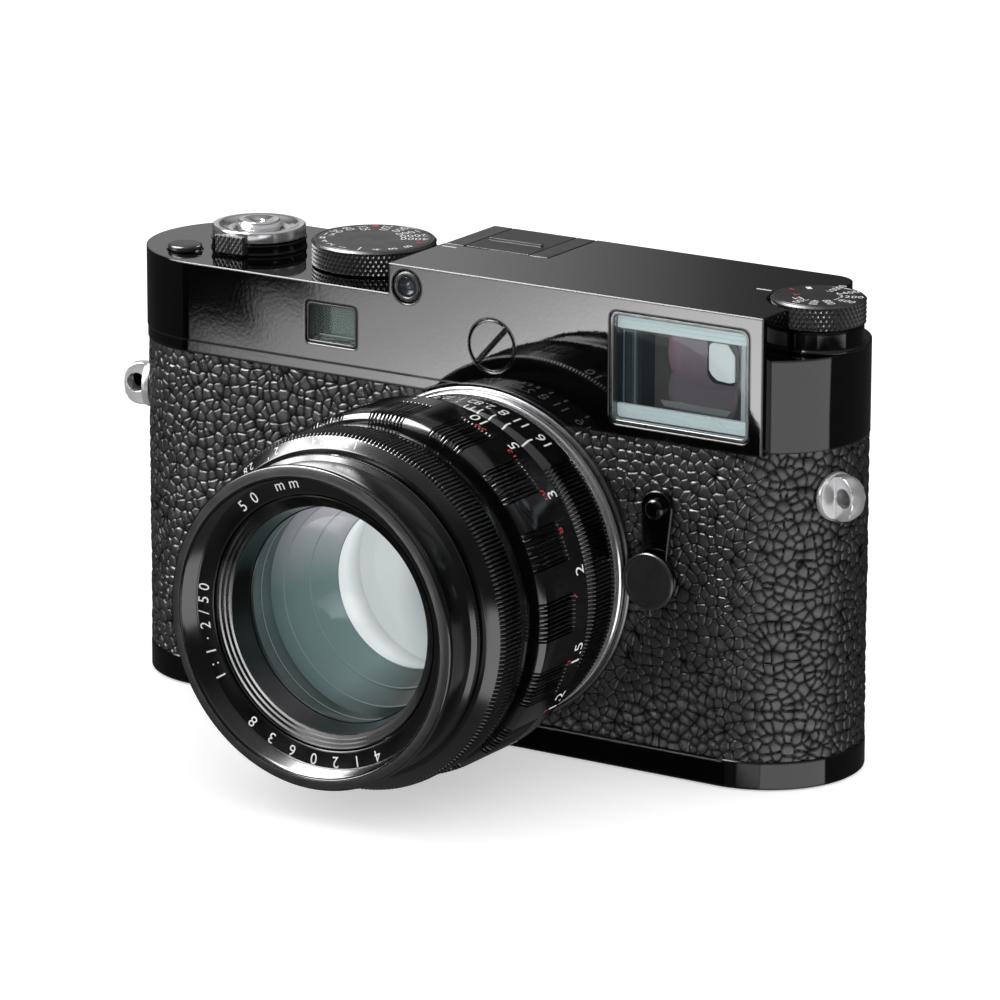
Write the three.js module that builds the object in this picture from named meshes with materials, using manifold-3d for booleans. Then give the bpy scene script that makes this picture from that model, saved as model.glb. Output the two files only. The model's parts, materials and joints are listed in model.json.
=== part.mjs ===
// Rangefinder camera with a fast 50 mm lens, in millimetres, +Z up, front towards -Y.
// Heights are counted from the underside of the base plate. Depths are counted from the front plane of the
// raised panel on the top cover: y is positive behind it, and s = -y is the distance in front of it.
import * as THREE from "three";
import { mergeVertices } from "three/addons/utils/BufferGeometryUtils.js";
import Module from "manifold-3d";

// ---- Driving dimensions -------------------------------------------------------------------------------
const GAP = 0.3; // between two pieces that touch
const DEPTH_SHIFT = 8; // moves the group so that the middle of its depth is at y = 0

const BODY = { half: 69, front: 0.63, back: 33.9, endRadius: 16.3 };
const BASE_TOP = 4.8;
const LEATHER_THICK = 0.7;
const LEATHER_TOP_LEFT = 59.2; // left of the lens, as seen from the front
const LEATHER_TOP_RIGHT = 57.1;
const SHELL_WALL = 1.6;

const SHOULDER_LEFT = 75.4;
const SHOULDER_RIGHT = 73;
const BLOCK = { left: -11.3, right: 61, back: 33, top: 80.6 };
const PANEL_BOTTOM = 61.7; // lower edge of the raised front panel, left of the lens
const COVER_WALL = 2;
const CAVITY_TOP = 76.8;
const HOUSING_RIGHT = 52.6; // the viewfinder's housing stops short of the sensitivity dial

const LENS = { x: 7.46, z: 32.85 };
const MOUNT_RADIUS = 28.83;
const THROAT_RADIUS = 23.2;

const WINDOW = { x0: 31.9, x1: 58.5, z0: 59.2, z1: 78.3, corner: 1.4 };
const RANGE_WINDOW = { x0: -28.1, x1: -17.7, z0: 64.7, z1: 72, corner: 0.8 };
const SENSOR = { x: -7.74, z: 76.9, radius: 2.9 };
const SLOT_COVER = { x: 9.1, z: 69.1, radius: 4.4 };
const SHOE = { x0: -11.2, x1: 9.1, y0: 17.4, y1: 32.9, floor: 78.3, lip: 3.6 };

const SHUTTER_DIAL = { x: -25, y: 16.4, radius: 10.7, bottom: 75.7, top: 79.9, shaft: 2.5 };
const COLLAR = { x: -48.8, y: 16.6, radius: 8.25, bottom: 75.7, top: 77.3, capTop: 79.5, inner: 4.6 };
const TAB = { half: 2.9, reach: 1.2, depth: 0.85, top: 79 }; // the collar's thumb tab
const SHUTTER_BUTTON = { radius: 3.7, top: 80.3, collar: 77, shaft: 2.8, thread: 1.1, threadDepth: 1.9 };
const FUNCTION_BUTTON = { x: -58.1, y: 7.7, radius: 3, top: 76.5, bottom: 75.75, shaft: 1.6 };
const ISO = { x: 61.8, y: 16.6, radius: 7.9, neckRadius: 7.6, neckTop: 77, top: 81.2, shaft: 2.5 };
const SHAFT_CLEARANCE = 0.45; // round a shaft that turns or slides in the top cover

const LUG = { z: 49.4, radius: 3.9, reach: 5, turn: 18, eye: 1.6, eyeReach: 2.6, front: 0.8, back: 2.4 };
const RELEASE = { x: 40.9, z: 33.9, radius: 4.85, pin: 2.5, hole: 3.2, under: 1.15, top: 2.25 };
const LEVER_KNOB = { x: 41.4, z: 46, radius: 1.8, height: 1.5 };

const EYEPIECE = { x: 47, z: 69, radius: 8.3, inner: 5.6, front: 30.2, back: 36.26 };
const REAR = { x0: -51.4, x1: 50, z0: 6.4, z1: 56.4, front: 31.4, back: 34.1 };
const SCREEN = { x0: -28.5, x1: 47, z0: 9.2, z1: 53.8 };
const PAD = { x: -41.5, z: 27, radius: 8, inner: 3.2, back: 34.7 };
const PAD_BUTTON = { radius: 2.9, back: 34.6 };
const REAR_BUTTONS = { play_button: -36.5, menu_button: -46.5 };
const REAR_BUTTON = { z: 45, radius: 3, back: 34.8 };
const REAR_SEAT = 31.8; // depth at which the rear buttons start
const WHEEL = { x: -45, y: 27.8, z: 65.5, radius: 7.4, thick: 4.6 };

const BATTERY = { x0: -60, x1: -34, y0: 9, y1: 25, top: 50, lid: 2 };
const BATTERY_LEVER = { x: -25, y: 17, radius: 5, half: 1.8, bottom: 0.3, top: 1.8 };
const TRIPOD = { x: LENS.x, y: 17.3, outer: 4.8, inner: 3.1, top: 7 };

const SHUTTER_UNIT = { x0: -22.54, x1: 37.46, y0: 8, y1: 14, z0: 10.85, z1: 52.85 };
const SHUTTER_GATE = { x0: -10.54, x1: 25.46, y0: 5, y1: 20, z0: 20.85, z1: 44.85 };
const IMAGE_SENSOR = { x0: -12.54, x1: 27.46, y0: 15.5, y1: 18.5, z0: 18.35, z1: 47.35 };
const CIRCUIT_BOARD = { x0: -30, x1: 52, y0: 22, y1: 23.6, z0: 9, z1: 54 };
const RANGE_BLOCK = { x0: -30, x1: 29.5, y0: 4.2, y1: 15, z0: 59.5, z1: 70.2 };

const RING_SIDES = 36; // facets round a lens ring
const KNOB_SIDES = 20; // facets round a dial or button
const SMALL_SIDES = 12; // facets round a small button or hole
const PLAN_SEGMENTS = 7; // facets in each corner of a plan outline
const FRONT_SEGMENTS = 3; // facets in each corner of an outline seen from the front

// ---- Materials ----------------------------------------------------------------------------------------
const look = (color, roughness, metalness, opacity = 1) => () =>
  new THREE.MeshStandardMaterial({ color, roughness, metalness, opacity, transparent: opacity < 1 });
const blackPaint = look(0x0b0b0c, 0.18, 0.2);
const satinBlack = look(0x101011, 0.45, 0.3);
const leather = look(0x141415, 0.6, 0);
const silver = look(0xc8c9cb, 0.25, 1);
const steel = look(0x8c8e90, 0.4, 1);
const glass = look(0x5c7470, 0.05, 0, 0.4);
const frosted = look(0xc9d8da, 0.4, 0);
const plastic = look(0x17181a, 0.5, 0);
const board = look(0x1f4a2c, 0.6, 0);
const brass = look(0xb08d4a, 0.35, 1);

// ---- Solid helpers ------------------------------------------------------------------------------------
const wasm = await Module();
wasm.setup();
const root = new THREE.Group();
root.name = "rangefinder_camera";
root.position.y = DEPTH_SHIFT;
const TWO_PI = 2 * Math.PI;

// A closed geometry as a solid that can be joined and cut.
function solid(geometry) {
  const bare = geometry.clone();
  bare.deleteAttribute("normal");
  bare.deleteAttribute("uv");
  const merged = mergeVertices(bare, 1e-4);
  return new wasm.Manifold(
    new wasm.Mesh({
      numProp: 3,
      vertProperties: new Float32Array(merged.attributes.position.array),
      triVerts: new Uint32Array(merged.index.array),
    }),
  );
}

// Adds a named mesh of a solid to the camera.
function part(name, body, material) {
  const mesh = body.getMesh();
  const geometry = new THREE.BufferGeometry();
  geometry.setAttribute("position", new THREE.BufferAttribute(mesh.vertProperties, 3));
  geometry.setIndex(new THREE.BufferAttribute(mesh.triVerts, 1));
  geometry.computeVertexNormals();
  const made = new THREE.Mesh(geometry, material());
  made.name = name;
  root.add(made);
}

function box(x0, x1, y0, y1, z0, z1) {
  const geometry = new THREE.BoxGeometry(x1 - x0, y1 - y0, z1 - z0);
  return solid(geometry.translate((x0 + x1) / 2, (y0 + y1) / 2, (z0 + z1) / 2));
}

const slab = ({ x0, x1, y0, y1, z0, z1 }) => box(x0, x1, y0, y1, z0, z1);

// A solid with a list of others cut out of it.
const without = (body, cuts) => cuts.reduce((left, cut) => left.subtract(cut), body);

// A plan outline in X and Y, raised from z0 to z1.
function raised(shape, z0, z1) {
  const options = { depth: z1 - z0, bevelEnabled: false, curveSegments: PLAN_SEGMENTS };
  return solid(new THREE.ExtrudeGeometry(shape, options).translate(0, 0, z0));
}

// An outline in X and Z as seen from the front, from depth y0 back to y1.
function upright(shape, y0, y1) {
  const options = { depth: y1 - y0, bevelEnabled: false, curveSegments: FRONT_SEGMENTS };
  return solid(new THREE.ExtrudeGeometry(shape, options).rotateX(Math.PI / 2).translate(0, y1, 0));
}

function roundedRectangle(x0, x1, z0, z1, radius) {
  const shape = new THREE.Shape();
  shape.moveTo(x0 + radius, z0);
  shape.lineTo(x1 - radius, z0);
  shape.absarc(x1 - radius, z0 + radius, radius, -Math.PI / 2, 0);
  shape.absarc(x1 - radius, z1 - radius, radius, 0, Math.PI / 2);
  shape.absarc(x0 + radius, z1 - radius, radius, Math.PI / 2, Math.PI);
  shape.absarc(x0 + radius, z0 + radius, radius, Math.PI, 1.5 * Math.PI);
  return shape;
}

// The camera's plan: a long rectangle with round ends, inset all round.
function bodyPlan(inset) {
  const { half, front, back, endRadius } = BODY;
  return roundedRectangle(-half + inset, half - inset, front + inset, back - inset, endRadius - inset);
}

// The plan of the upper part of the cover, whose front stands proud of the body and fades out at the end.
function panelPlan() {
  return roundedRectangle(-BODY.half, BODY.half, 0, BODY.back, BODY.back / 2);
}

// A turned solid. The profile is a list of [radius, height]. It closes on itself, or runs from axis to axis.
function turned(profile, sides) {
  const onAxis = profile[0][0] === 0;
  const path = onAxis ? profile : [...profile, profile[0]];
  const points = path.map(([r, h]) => new THREE.Vector2(r, h));
  const area = points.reduce((sum, p, i) => sum + p.cross(points[(i + 1) % points.length]), 0);
  if (area < 0) points.reverse();
  return new THREE.LatheGeometry(points, sides);
}

// Turned about an upright axis through (x, y), with heights along +Z.
const onZ = (profile, x, y, sides = KNOB_SIDES) =>
  solid(turned(profile, sides).rotateX(Math.PI / 2).translate(x, y, 0));

// Turned about a front-to-back axis through (x, z), with heights counted forwards, as s.
const onY = (profile, x, z, sides = KNOB_SIDES) =>
  solid(turned(profile, sides).rotateX(Math.PI).translate(x, 0, z));
const onLens = (profile) => onY(profile, LENS.x, LENS.z, RING_SIDES);

const disc = (radius, h0, h1) => [[0, h0], [radius, h0], [radius, h1], [0, h1]];
const tube = (inner, outer, h0, h1) => [[inner, h0], [outer, h0], [outer, h1], [inner, h1]];

// ---- Body ---------------------------------------------------------------------------------------------
function basePlate() {
  const { x0, x1, y0, y1, lid } = BATTERY;
  const cap = box(x0 - lid, x1 + lid, y0 - lid, y1 + lid, -1, BASE_TOP + 1);
  const socket = onZ(disc(TRIPOD.outer + GAP, -1, BASE_TOP + 1), TRIPOD.x, TRIPOD.y);
  const leverPocket = onZ(disc(BATTERY_LEVER.radius + 1, -1, 2.2), BATTERY_LEVER.x, BATTERY_LEVER.y);
  const ring = onLens(disc(MOUNT_RADIUS + GAP, -2, 6));
  const plate = raised(bodyPlan(0), 0, BASE_TOP);
  part("base_plate", without(plate, [cap, socket, leverPocket, ring]), blackPaint);
}

function tripodSocket() {
  const { outer, inner, top } = TRIPOD;
  const profile = [[0, top - 1], [inner, top - 1], [inner, 0.1], [outer, 0.1], [outer, top], [0, top]];
  part("tripod_socket", onZ(profile, TRIPOD.x, TRIPOD.y), steel);
}

function bodyShell() {
  const inset = LEATHER_THICK + GAP;
  const bottom = BASE_TOP + GAP;
  const top = LEATHER_TOP_RIGHT;
  let shell = raised(bodyPlan(inset), bottom, top);
  shell = shell.subtract(raised(bodyPlan(inset + SHELL_WALL), bottom - 1, top + 1));
  shell = shell.subtract(onLens(disc(THROAT_RADIUS, -6, 6)));
  shell = shell.subtract(onY(disc(RELEASE.hole, -6, 6), RELEASE.x, RELEASE.z, SMALL_SIDES));
  const rearOpening = box(REAR.x0 - GAP, REAR.x1 + GAP, 28, 36, REAR.z0 - GAP, REAR.z1 + GAP);
  part("body_shell", shell.subtract(rearOpening), satinBlack);
}

// The covering is in two pieces, because the mount ring is as tall as the space between base and cover.
function leatherCovering() {
  const bottom = BASE_TOP + GAP;
  let skin = raised(bodyPlan(0), bottom, LEATHER_TOP_LEFT);
  skin = skin.subtract(raised(bodyPlan(LEATHER_THICK), bottom - 1, LEATHER_TOP_LEFT + 1));
  const lowerRight = box(LENS.x, BODY.half + 1, -1, 40, LEATHER_TOP_RIGHT, LEATHER_TOP_LEFT + 1);
  skin = skin.subtract(lowerRight);
  skin = skin.subtract(onLens(disc(MOUNT_RADIUS + GAP, -6, 6)));
  skin = skin.subtract(onY(disc(RELEASE.hole, -6, 6), RELEASE.x, RELEASE.z, SMALL_SIDES));
  skin = skin.subtract(box(REAR.x0 - GAP, REAR.x1 + GAP, 28, 36, 0, LEATHER_TOP_LEFT + 1));
  for (const side of [-1, 1]) {
    skin = skin.subtract(alongLug(side, disc(LUG.radius + GAP, -4, 4), SMALL_SIDES));
  }
  part("leather_left", skin.intersect(box(-80, LENS.x, -1, 40, 0, 70)), leather);
  part("leather_right", skin.intersect(box(LENS.x, 80, -1, 40, 0, 70)), leather);
}

// Turned about the axis of a strap lug, with heights counted outwards from the skin of the body.
function alongLug(side, profile, sides) {
  const turn = THREE.MathUtils.degToRad(LUG.turn);
  const centre = BODY.half - BODY.endRadius;
  const depth = BODY.front + BODY.endRadius;
  const geometry = turned(profile, sides).rotateZ(-Math.PI / 2).translate(BODY.endRadius, 0, 0);
  geometry.rotateZ(side > 0 ? -turn : Math.PI + turn).translate(side * centre, depth, LUG.z);
  return solid(geometry);
}

// What is cut away to leave a flat face on a strap lug, between two depths.
const lugFlat = (from, to) => box(-LUG.eye, 4, Math.min(from, to), Math.max(from, to), -5, 5);

function strapLug(side, name) {
  const { radius, reach, eye, eyeReach } = LUG;
  const flange = [[0, -0.3], [radius, -0.3], [radius, 2.2]];
  const dome = [[radius * 0.85, 3.9], [radius * 0.5, 4.7], [0, reach]];
  const turn = THREE.MathUtils.degToRad(LUG.turn);
  const out = BODY.endRadius + eyeReach;
  const x = side * (BODY.half - BODY.endRadius + out * Math.cos(turn));
  const y = BODY.front + BODY.endRadius - out * Math.sin(turn);
  const spin = side > 0 ? -LUG.turn : 180 + LUG.turn;
  const cuts = [lugFlat(-side * LUG.front, -side * reach), lugFlat(side * LUG.back, side * reach)];
  cuts.push(onY(disc(eye, -6, 6), 0.2, 0, SMALL_SIDES));
  const placed = cuts.map((cut) => cut.rotate([0, 0, spin]).translate([x, y, LUG.z]));
  const lug = without(alongLug(side, [...flange, ...dome], SMALL_SIDES), placed);
  part(name, lug, silver);
}

function topCover() {
  const { left, right, back, top } = BLOCK;
  const split = LENS.x;
  const plan = bodyPlan(0);
  const low = LEATHER_TOP_RIGHT + GAP;
  let cover = raised(plan, LEATHER_TOP_LEFT + GAP, SHOULDER_RIGHT);
  cover = cover.add(raised(plan, low, SHOULDER_RIGHT).intersect(box(split, 80, -1, 40, low, 80)));
  const skirt = raised(bodyPlan(LEATHER_THICK + GAP), low, LEATHER_TOP_LEFT + 1);
  cover = cover.add(skirt.intersect(box(-80, split + 1, -1, 40, low, 80)));
  const shoulder = raised(panelPlan(), PANEL_BOTTOM, SHOULDER_LEFT);
  cover = cover.add(shoulder.intersect(box(-80, left + 1, -1, 40, PANEL_BOTTOM, 80)));
  const block = new THREE.Shape();
  block.moveTo(left, 0);
  block.lineTo(right, 0);
  block.lineTo(right, back - 5);
  block.absarc(right - 5, back - 5, 5, 0, Math.PI / 2);
  block.lineTo(left, back);
  cover = cover.add(raised(block, 62, top));
  cover = cover.add(box(left, split + 1, 0, 3, PANEL_BOTTOM, top));
  cover = cover.add(box(split, right, 0, 3, low, top));
  cover = cover.subtract(onLens(disc(MOUNT_RADIUS + GAP, -2, 6)));
  cover = hollowCover(cover);
  part("top_cover", cutOpenings(cover), blackPaint);
}

// The space inside the top cover, open at its underside.
function hollowCover(cover) {
  const inner = raised(bodyPlan(COVER_WALL + 1), 50, SHOULDER_RIGHT - COVER_WALL);
  const leftUpper = inner.intersect(box(-80, BLOCK.left, 0, 40, 50, 70)).translate([0, 0, 3]);
  const upper = box(BLOCK.left + 2, HOUSING_RIGHT + GAP, 3.4, BLOCK.back - 3, 60, CAVITY_TOP);
  const pocket = box(WINDOW.x0, WINDOW.x1, 3.4, 7.5, WINDOW.z0, WINDOW.z1);
  return cover.subtract(inner).subtract(leftUpper).subtract(upper).subtract(pocket);
}

const shaftHole = ({ x, y }, shaft, top) => onZ(disc(shaft + SHAFT_CLEARANCE, 60, top), x, y, SMALL_SIDES);

function cutOpenings(cover) {
  const w = WINDOW;
  const r = RANGE_WINDOW;
  const cuts = [
    upright(roundedRectangle(w.x0, w.x1, w.z0, w.z1, w.corner), -1, 5),
    upright(roundedRectangle(r.x0, r.x1, r.z0, r.z1, r.corner), -1, 5),
    onY(disc(SENSOR.radius, -1.2, 1), SENSOR.x, SENSOR.z, SMALL_SIDES),
    onY(disc(SLOT_COVER.radius + 0.2, -1, 1), SLOT_COVER.x, SLOT_COVER.z),
    shaftHole(SHUTTER_DIAL, SHUTTER_DIAL.shaft, 90),
    shaftHole(COLLAR, SHUTTER_BUTTON.shaft, 90),
    shaftHole(FUNCTION_BUTTON, FUNCTION_BUTTON.shaft, 90),
    shaftHole(ISO, ISO.shaft, SHOULDER_RIGHT + 1),
    onZ(disc(ISO.radius + 0.5, SHOULDER_RIGHT, 90), ISO.x, ISO.y),
    box(SHOE.x0 - GAP, SHOE.x1 + GAP, SHOE.y0 - GAP, 40, SHOE.floor - GAP, 90),
    onY(disc(EYEPIECE.radius + GAP, -40, -28), EYEPIECE.x, EYEPIECE.z),
    onZ(disc(WHEEL.radius + 0.5, WHEEL.z - 2.7, WHEEL.z + 2.7), WHEEL.x, WHEEL.y),
  ];
  return without(cover, cuts);
}

// ---- Windows in the cover -----------------------------------------------------------------------------
// A window's frame, which lines its opening, and its pane.
function windowFrame(name, w, wall, depth) {
  const outer = roundedRectangle(w.x0 + GAP, w.x1 - GAP, w.z0 + GAP, w.z1 - GAP, w.corner);
  const inner = roundedRectangle(w.x0 + wall, w.x1 - wall, w.z0 + wall, w.z1 - wall, w.corner / 3);
  part(name, upright(outer, 0.15, depth).subtract(upright(inner, -1, depth + 1)), satinBlack);
}

function viewfinderWindow() {
  const w = WINDOW;
  const edge = 1.1;
  windowFrame("viewfinder_frame", w, edge - GAP, 2.6);
  const pane = roundedRectangle(w.x0 + edge, w.x1 - edge, w.z0 + edge, w.z1 - edge, 1);
  part("viewfinder_glass", upright(pane, 0.5, 1.3), glass);
  const strips = { frosted_strip_bottom: w.z0 + edge, frosted_strip_top: w.z1 - edge - 2.4 };
  for (const [name, z] of Object.entries(strips)) {
    part(name, box(w.x0 + edge, w.x1 - edge, 1.6, 2.4, z, z + 2.4), frosted);
  }
  part("viewfinder_objective", onY([[0, -9], [6.5, -8], [6.5, -5.4], [0, -4]], 43.5, 68.2), glass);
}

function viewfinderHousing() {
  const w = WINDOW;
  const outer = box(w.x0 + 0.2, HOUSING_RIGHT, 3.6, 29.6, w.z0 + 0.6, CAVITY_TOP - 0.4);
  const bore = box(w.x0 + 1.4, HOUSING_RIGHT - 1.2, 3, 28.2, w.z0 + 1.4, CAVITY_TOP - 1.4);
  const exit = onY(disc(5, -31, -27), EYEPIECE.x, EYEPIECE.z);
  part("viewfinder_housing", outer.subtract(bore).subtract(exit), satinBlack);
}

function rangefinderWindow() {
  const r = RANGE_WINDOW;
  windowFrame("rangefinder_frame", r, 1.2, 2.4);
  const pane = roundedRectangle(r.x0 + 1.5, r.x1 - 1.5, r.z0 + 1.5, r.z1 - 1.5, 0.5);
  part("rangefinder_glass", upright(pane, 1, 1.8), glass);
  part("rangefinder_block", slab(RANGE_BLOCK), brass);
}

function sensorWindow() {
  const { x, z, radius } = SENSOR;
  part("sensor_ring", onY(tube(1.9, radius - 0.2, -0.9, 0), x, z, SMALL_SIDES), satinBlack);
  part("sensor_lens", onY([[0, -0.9], [1.6, -0.9], [1.6, -0.4], [0, -0.1]], x, z, SMALL_SIDES), glass);
}

function slottedCover() {
  const { x, z, radius } = SLOT_COVER;
  const slot = box(-radius - 1, radius + 1, -1, 0.35, -0.3, 0.3).rotate([0, -42, 0]).translate([x, -0.1, z]);
  part("slotted_cover", onY(disc(radius, -0.8, 0.1), x, z).subtract(slot), blackPaint);
}

// ---- Hot shoe -----------------------------------------------------------------------------------------
function hotShoe() {
  const { x0, x1, y0, y1, floor, lip } = SHOE;
  const top = BLOCK.top;
  const outline = new THREE.Shape();
  const points = [
    [x0, floor], [x1, floor], [x1, top], [x1 - lip, top], [x1 - lip, top - 0.7],
    [x1 - 0.8, top - 0.7], [x1 - 0.8, floor + 0.5], [x0 + 0.8, floor + 0.5],
    [x0 + 0.8, top - 0.7], [x0 + lip, top - 0.7], [x0 + lip, top], [x0, top],
  ];
  outline.setFromPoints(points.map(([x, z]) => new THREE.Vector2(x, z)));
  part("hot_shoe", upright(outline, y0, y1), satinBlack);
}

function shoeCover() {
  const { x0, x1, y0, y1, floor, lip } = SHOE;
  const front = y0 + 0.3;
  let cover = box(x0 + 1.1, x1 - 1.1, front, y1, floor + 0.8, BLOCK.top - 1);
  cover = cover.add(box(x0 + lip + 0.25, x1 - lip - 0.25, front, y1, floor + 0.9, BLOCK.top));
  const grip = box(x0 + lip + 1.5, x1 - lip - 1.5, y1 - 3.4, y1 - 2.2, BLOCK.top - 0.2, BLOCK.top + 0.5);
  cover = cover.add(grip);
  part("shoe_cover", cover, plastic);
}

// ---- Controls on the top ------------------------------------------------------------------------------
function shutterDial() {
  const { x, y, radius, bottom, top, shaft } = SHUTTER_DIAL;
  const stem = [[0, 71], [shaft, 71], [shaft, bottom]];
  const head = [[radius, bottom], [radius, top - 0.5], [radius - 0.5, top], [0, top]];
  part("shutter_dial", onZ([...stem, ...head], x, y), satinBlack);
}

function shutterRelease() {
  const { x, y, radius, bottom, top, capTop } = COLLAR;
  const button = SHUTTER_BUTTON;
  const outside = -radius - TAB.reach;
  const tab = box(-TAB.half, TAB.half, outside, outside + TAB.depth, bottom, TAB.top);
  const arm = box(-TAB.half, TAB.half, outside, 2.5 - radius, bottom, top);
  const collar = onZ(tube(COLLAR.inner, radius, bottom, top), x, y);
  part("power_collar", collar.add(tab.add(arm).translate([x, y, 0])), satinBlack);
  const edge = radius - 0.2;
  const capBottom = top + GAP;
  const wall = [[COLLAR.inner, capBottom], [edge, capBottom], [edge, capTop - 0.3]];
  const dish = [[edge - 0.4, capTop], [edge - 1.4, capTop], [COLLAR.inner, capTop - 0.7]];
  part("collar_cap", onZ([...wall, ...dish], x, y), silver);
  const stem = [[0, 70], [button.shaft, 70], [button.shaft, button.collar], [button.radius, button.collar]];
  const rim = [[button.radius, button.top - 0.3], [button.radius - 0.4, button.top]];
  const depth = button.top - button.threadDepth;
  const thread = [[button.thread, button.top - 0.3], [button.thread, depth], [0, depth]];
  part("shutter_button", onZ([...stem, ...rim, ...thread], x, y), silver);
}

function functionButton() {
  const { x, y, radius, bottom, top, shaft } = FUNCTION_BUTTON;
  const stem = [[0, 72], [shaft, 72], [shaft, bottom]];
  const head = [[radius, bottom], [radius, top - 0.2], [radius - 0.3, top], [0, top]];
  part("function_button", onZ([...stem, ...head], x, y, SMALL_SIDES), satinBlack);
}

function isoDial() {
  const { x, y, radius, neckRadius, neckTop, top, shaft } = ISO;
  part("iso_neck", onZ(tube(shaft + 0.5, neckRadius, SHOULDER_RIGHT + 0.2, neckTop), x, y), blackPaint);
  part("iso_shaft", onZ(disc(shaft, 69, neckTop), x, y, SMALL_SIDES), steel);
  const bottom = neckTop + GAP;
  const profile = [[0, bottom], [radius, bottom], [radius, top - 0.4], [radius - 0.4, top], [0, top]];
  part("iso_dial", onZ(profile, x, y), satinBlack);
}

// ---- Controls on the front ----------------------------------------------------------------------------
function mountRing() {
  part("mount_ring", onLens(tube(22.1, MOUNT_RADIUS, -1.3, 0.3)), steel);
}

function lensRelease() {
  const { x, z, radius, pin, under, top } = RELEASE;
  const stem = [[0, -4], [pin, -4], [pin, under]];
  const cap = [[radius, under], [radius, top - 0.25], [radius - 0.3, top], [0, top]];
  part("lens_release_button", onY([...stem, ...cap], x, z), blackPaint);
}

// The frame selector: an arm that turns about the release button and carries a small knob.
function frameLever() {
  const boss = RELEASE.radius - 0.65;
  const tip = LEVER_KNOB.radius + 1.2;
  const arm = new THREE.Shape();
  arm.absarc(RELEASE.x, RELEASE.z, boss, 2.1, TWO_PI + 0.87);
  arm.absarc(LEVER_KNOB.x, LEVER_KNOB.z, tip, 0, Math.PI);
  const knob = onY(disc(LEVER_KNOB.radius, 0, LEVER_KNOB.height), LEVER_KNOB.x, LEVER_KNOB.z, SMALL_SIDES);
  const bore = onY(disc(RELEASE.pin + 0.4, -2, 2), RELEASE.x, RELEASE.z, SMALL_SIDES);
  part("frame_lever", upright(arm, -0.25, 0.33).add(knob).subtract(bore), blackPaint);
}

// ---- Rear ---------------------------------------------------------------------------------------------
function rearPanel() {
  const { x0, x1, z0, z1, front, back } = REAR;
  let panel = upright(roundedRectangle(x0, x1, z0, z1, 2), front, back);
  const pane = roundedRectangle(SCREEN.x0 - GAP, SCREEN.x1 + GAP, SCREEN.z0 - GAP, SCREEN.z1 + GAP, 1.5);
  panel = panel.subtract(upright(pane, 32.4, 40));
  panel = panel.subtract(onY(disc(PAD.radius + GAP, -40, -28), PAD.x, PAD.z));
  for (const x of Object.values(REAR_BUTTONS)) {
    panel = panel.subtract(onY(disc(REAR_BUTTON.radius + GAP, -40, -28), x, REAR_BUTTON.z, SMALL_SIDES));
  }
  part("rear_panel", panel, satinBlack);
  const screen = roundedRectangle(SCREEN.x0, SCREEN.x1, SCREEN.z0, SCREEN.z1, 1.2);
  part("screen_glass", upright(screen, 32.7, 34), glass);
}

function rearButtons() {
  part("direction_pad", onY(tube(PAD.inner, PAD.radius, -PAD.back, -REAR_SEAT), PAD.x, PAD.z), plastic);
  const centre = disc(PAD_BUTTON.radius, -PAD_BUTTON.back, -REAR_SEAT);
  part("center_button", onY(centre, PAD.x, PAD.z, SMALL_SIDES), plastic);
  for (const [name, x] of Object.entries(REAR_BUTTONS)) {
    const button = disc(REAR_BUTTON.radius, -REAR_BUTTON.back, -REAR_SEAT);
    part(name, onY(button, x, REAR_BUTTON.z, SMALL_SIDES), plastic);
  }
}

function thumbWheel() {
  const { x, y, z, radius, thick } = WHEEL;
  part("thumb_wheel", onZ(disc(radius, z - thick / 2, z + thick / 2), x, y), satinBlack);
}

function eyepiece() {
  const { x, z, radius, inner, front, back } = EYEPIECE;
  part("eyepiece_ring", onY(tube(inner, radius, -back, -front), x, z), satinBlack);
  part("eyepiece_glass", onY(disc(inner - GAP, -34.6, -33.2), x, z), glass);
}

// ---- Inside -------------------------------------------------------------------------------------------
function insides() {
  part("shutter_unit", slab(SHUTTER_UNIT).subtract(slab(SHUTTER_GATE)), steel);
  part("image_sensor", slab(IMAGE_SENSOR), plastic);
  part("circuit_board", slab(CIRCUIT_BOARD), board);
}

function battery() {
  const { x0, x1, y0, y1, top, lid } = BATTERY;
  const edge = lid - GAP;
  const cap = box(x0 - edge, x1 + edge, y0 - edge, y1 + edge, 0, BASE_TOP);
  part("battery", cap.add(box(x0, x1, y0, y1, BASE_TOP - 1, top)), plastic);
}

function batteryLever() {
  const lever = BATTERY_LEVER;
  const outline = roundedRectangle(-lever.radius, lever.radius, -lever.half, lever.half, lever.half - 0.1);
  const placed = raised(outline, lever.bottom, lever.top).translate([lever.x, lever.y, 0]);
  part("battery_lever", placed, steel);
}

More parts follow.
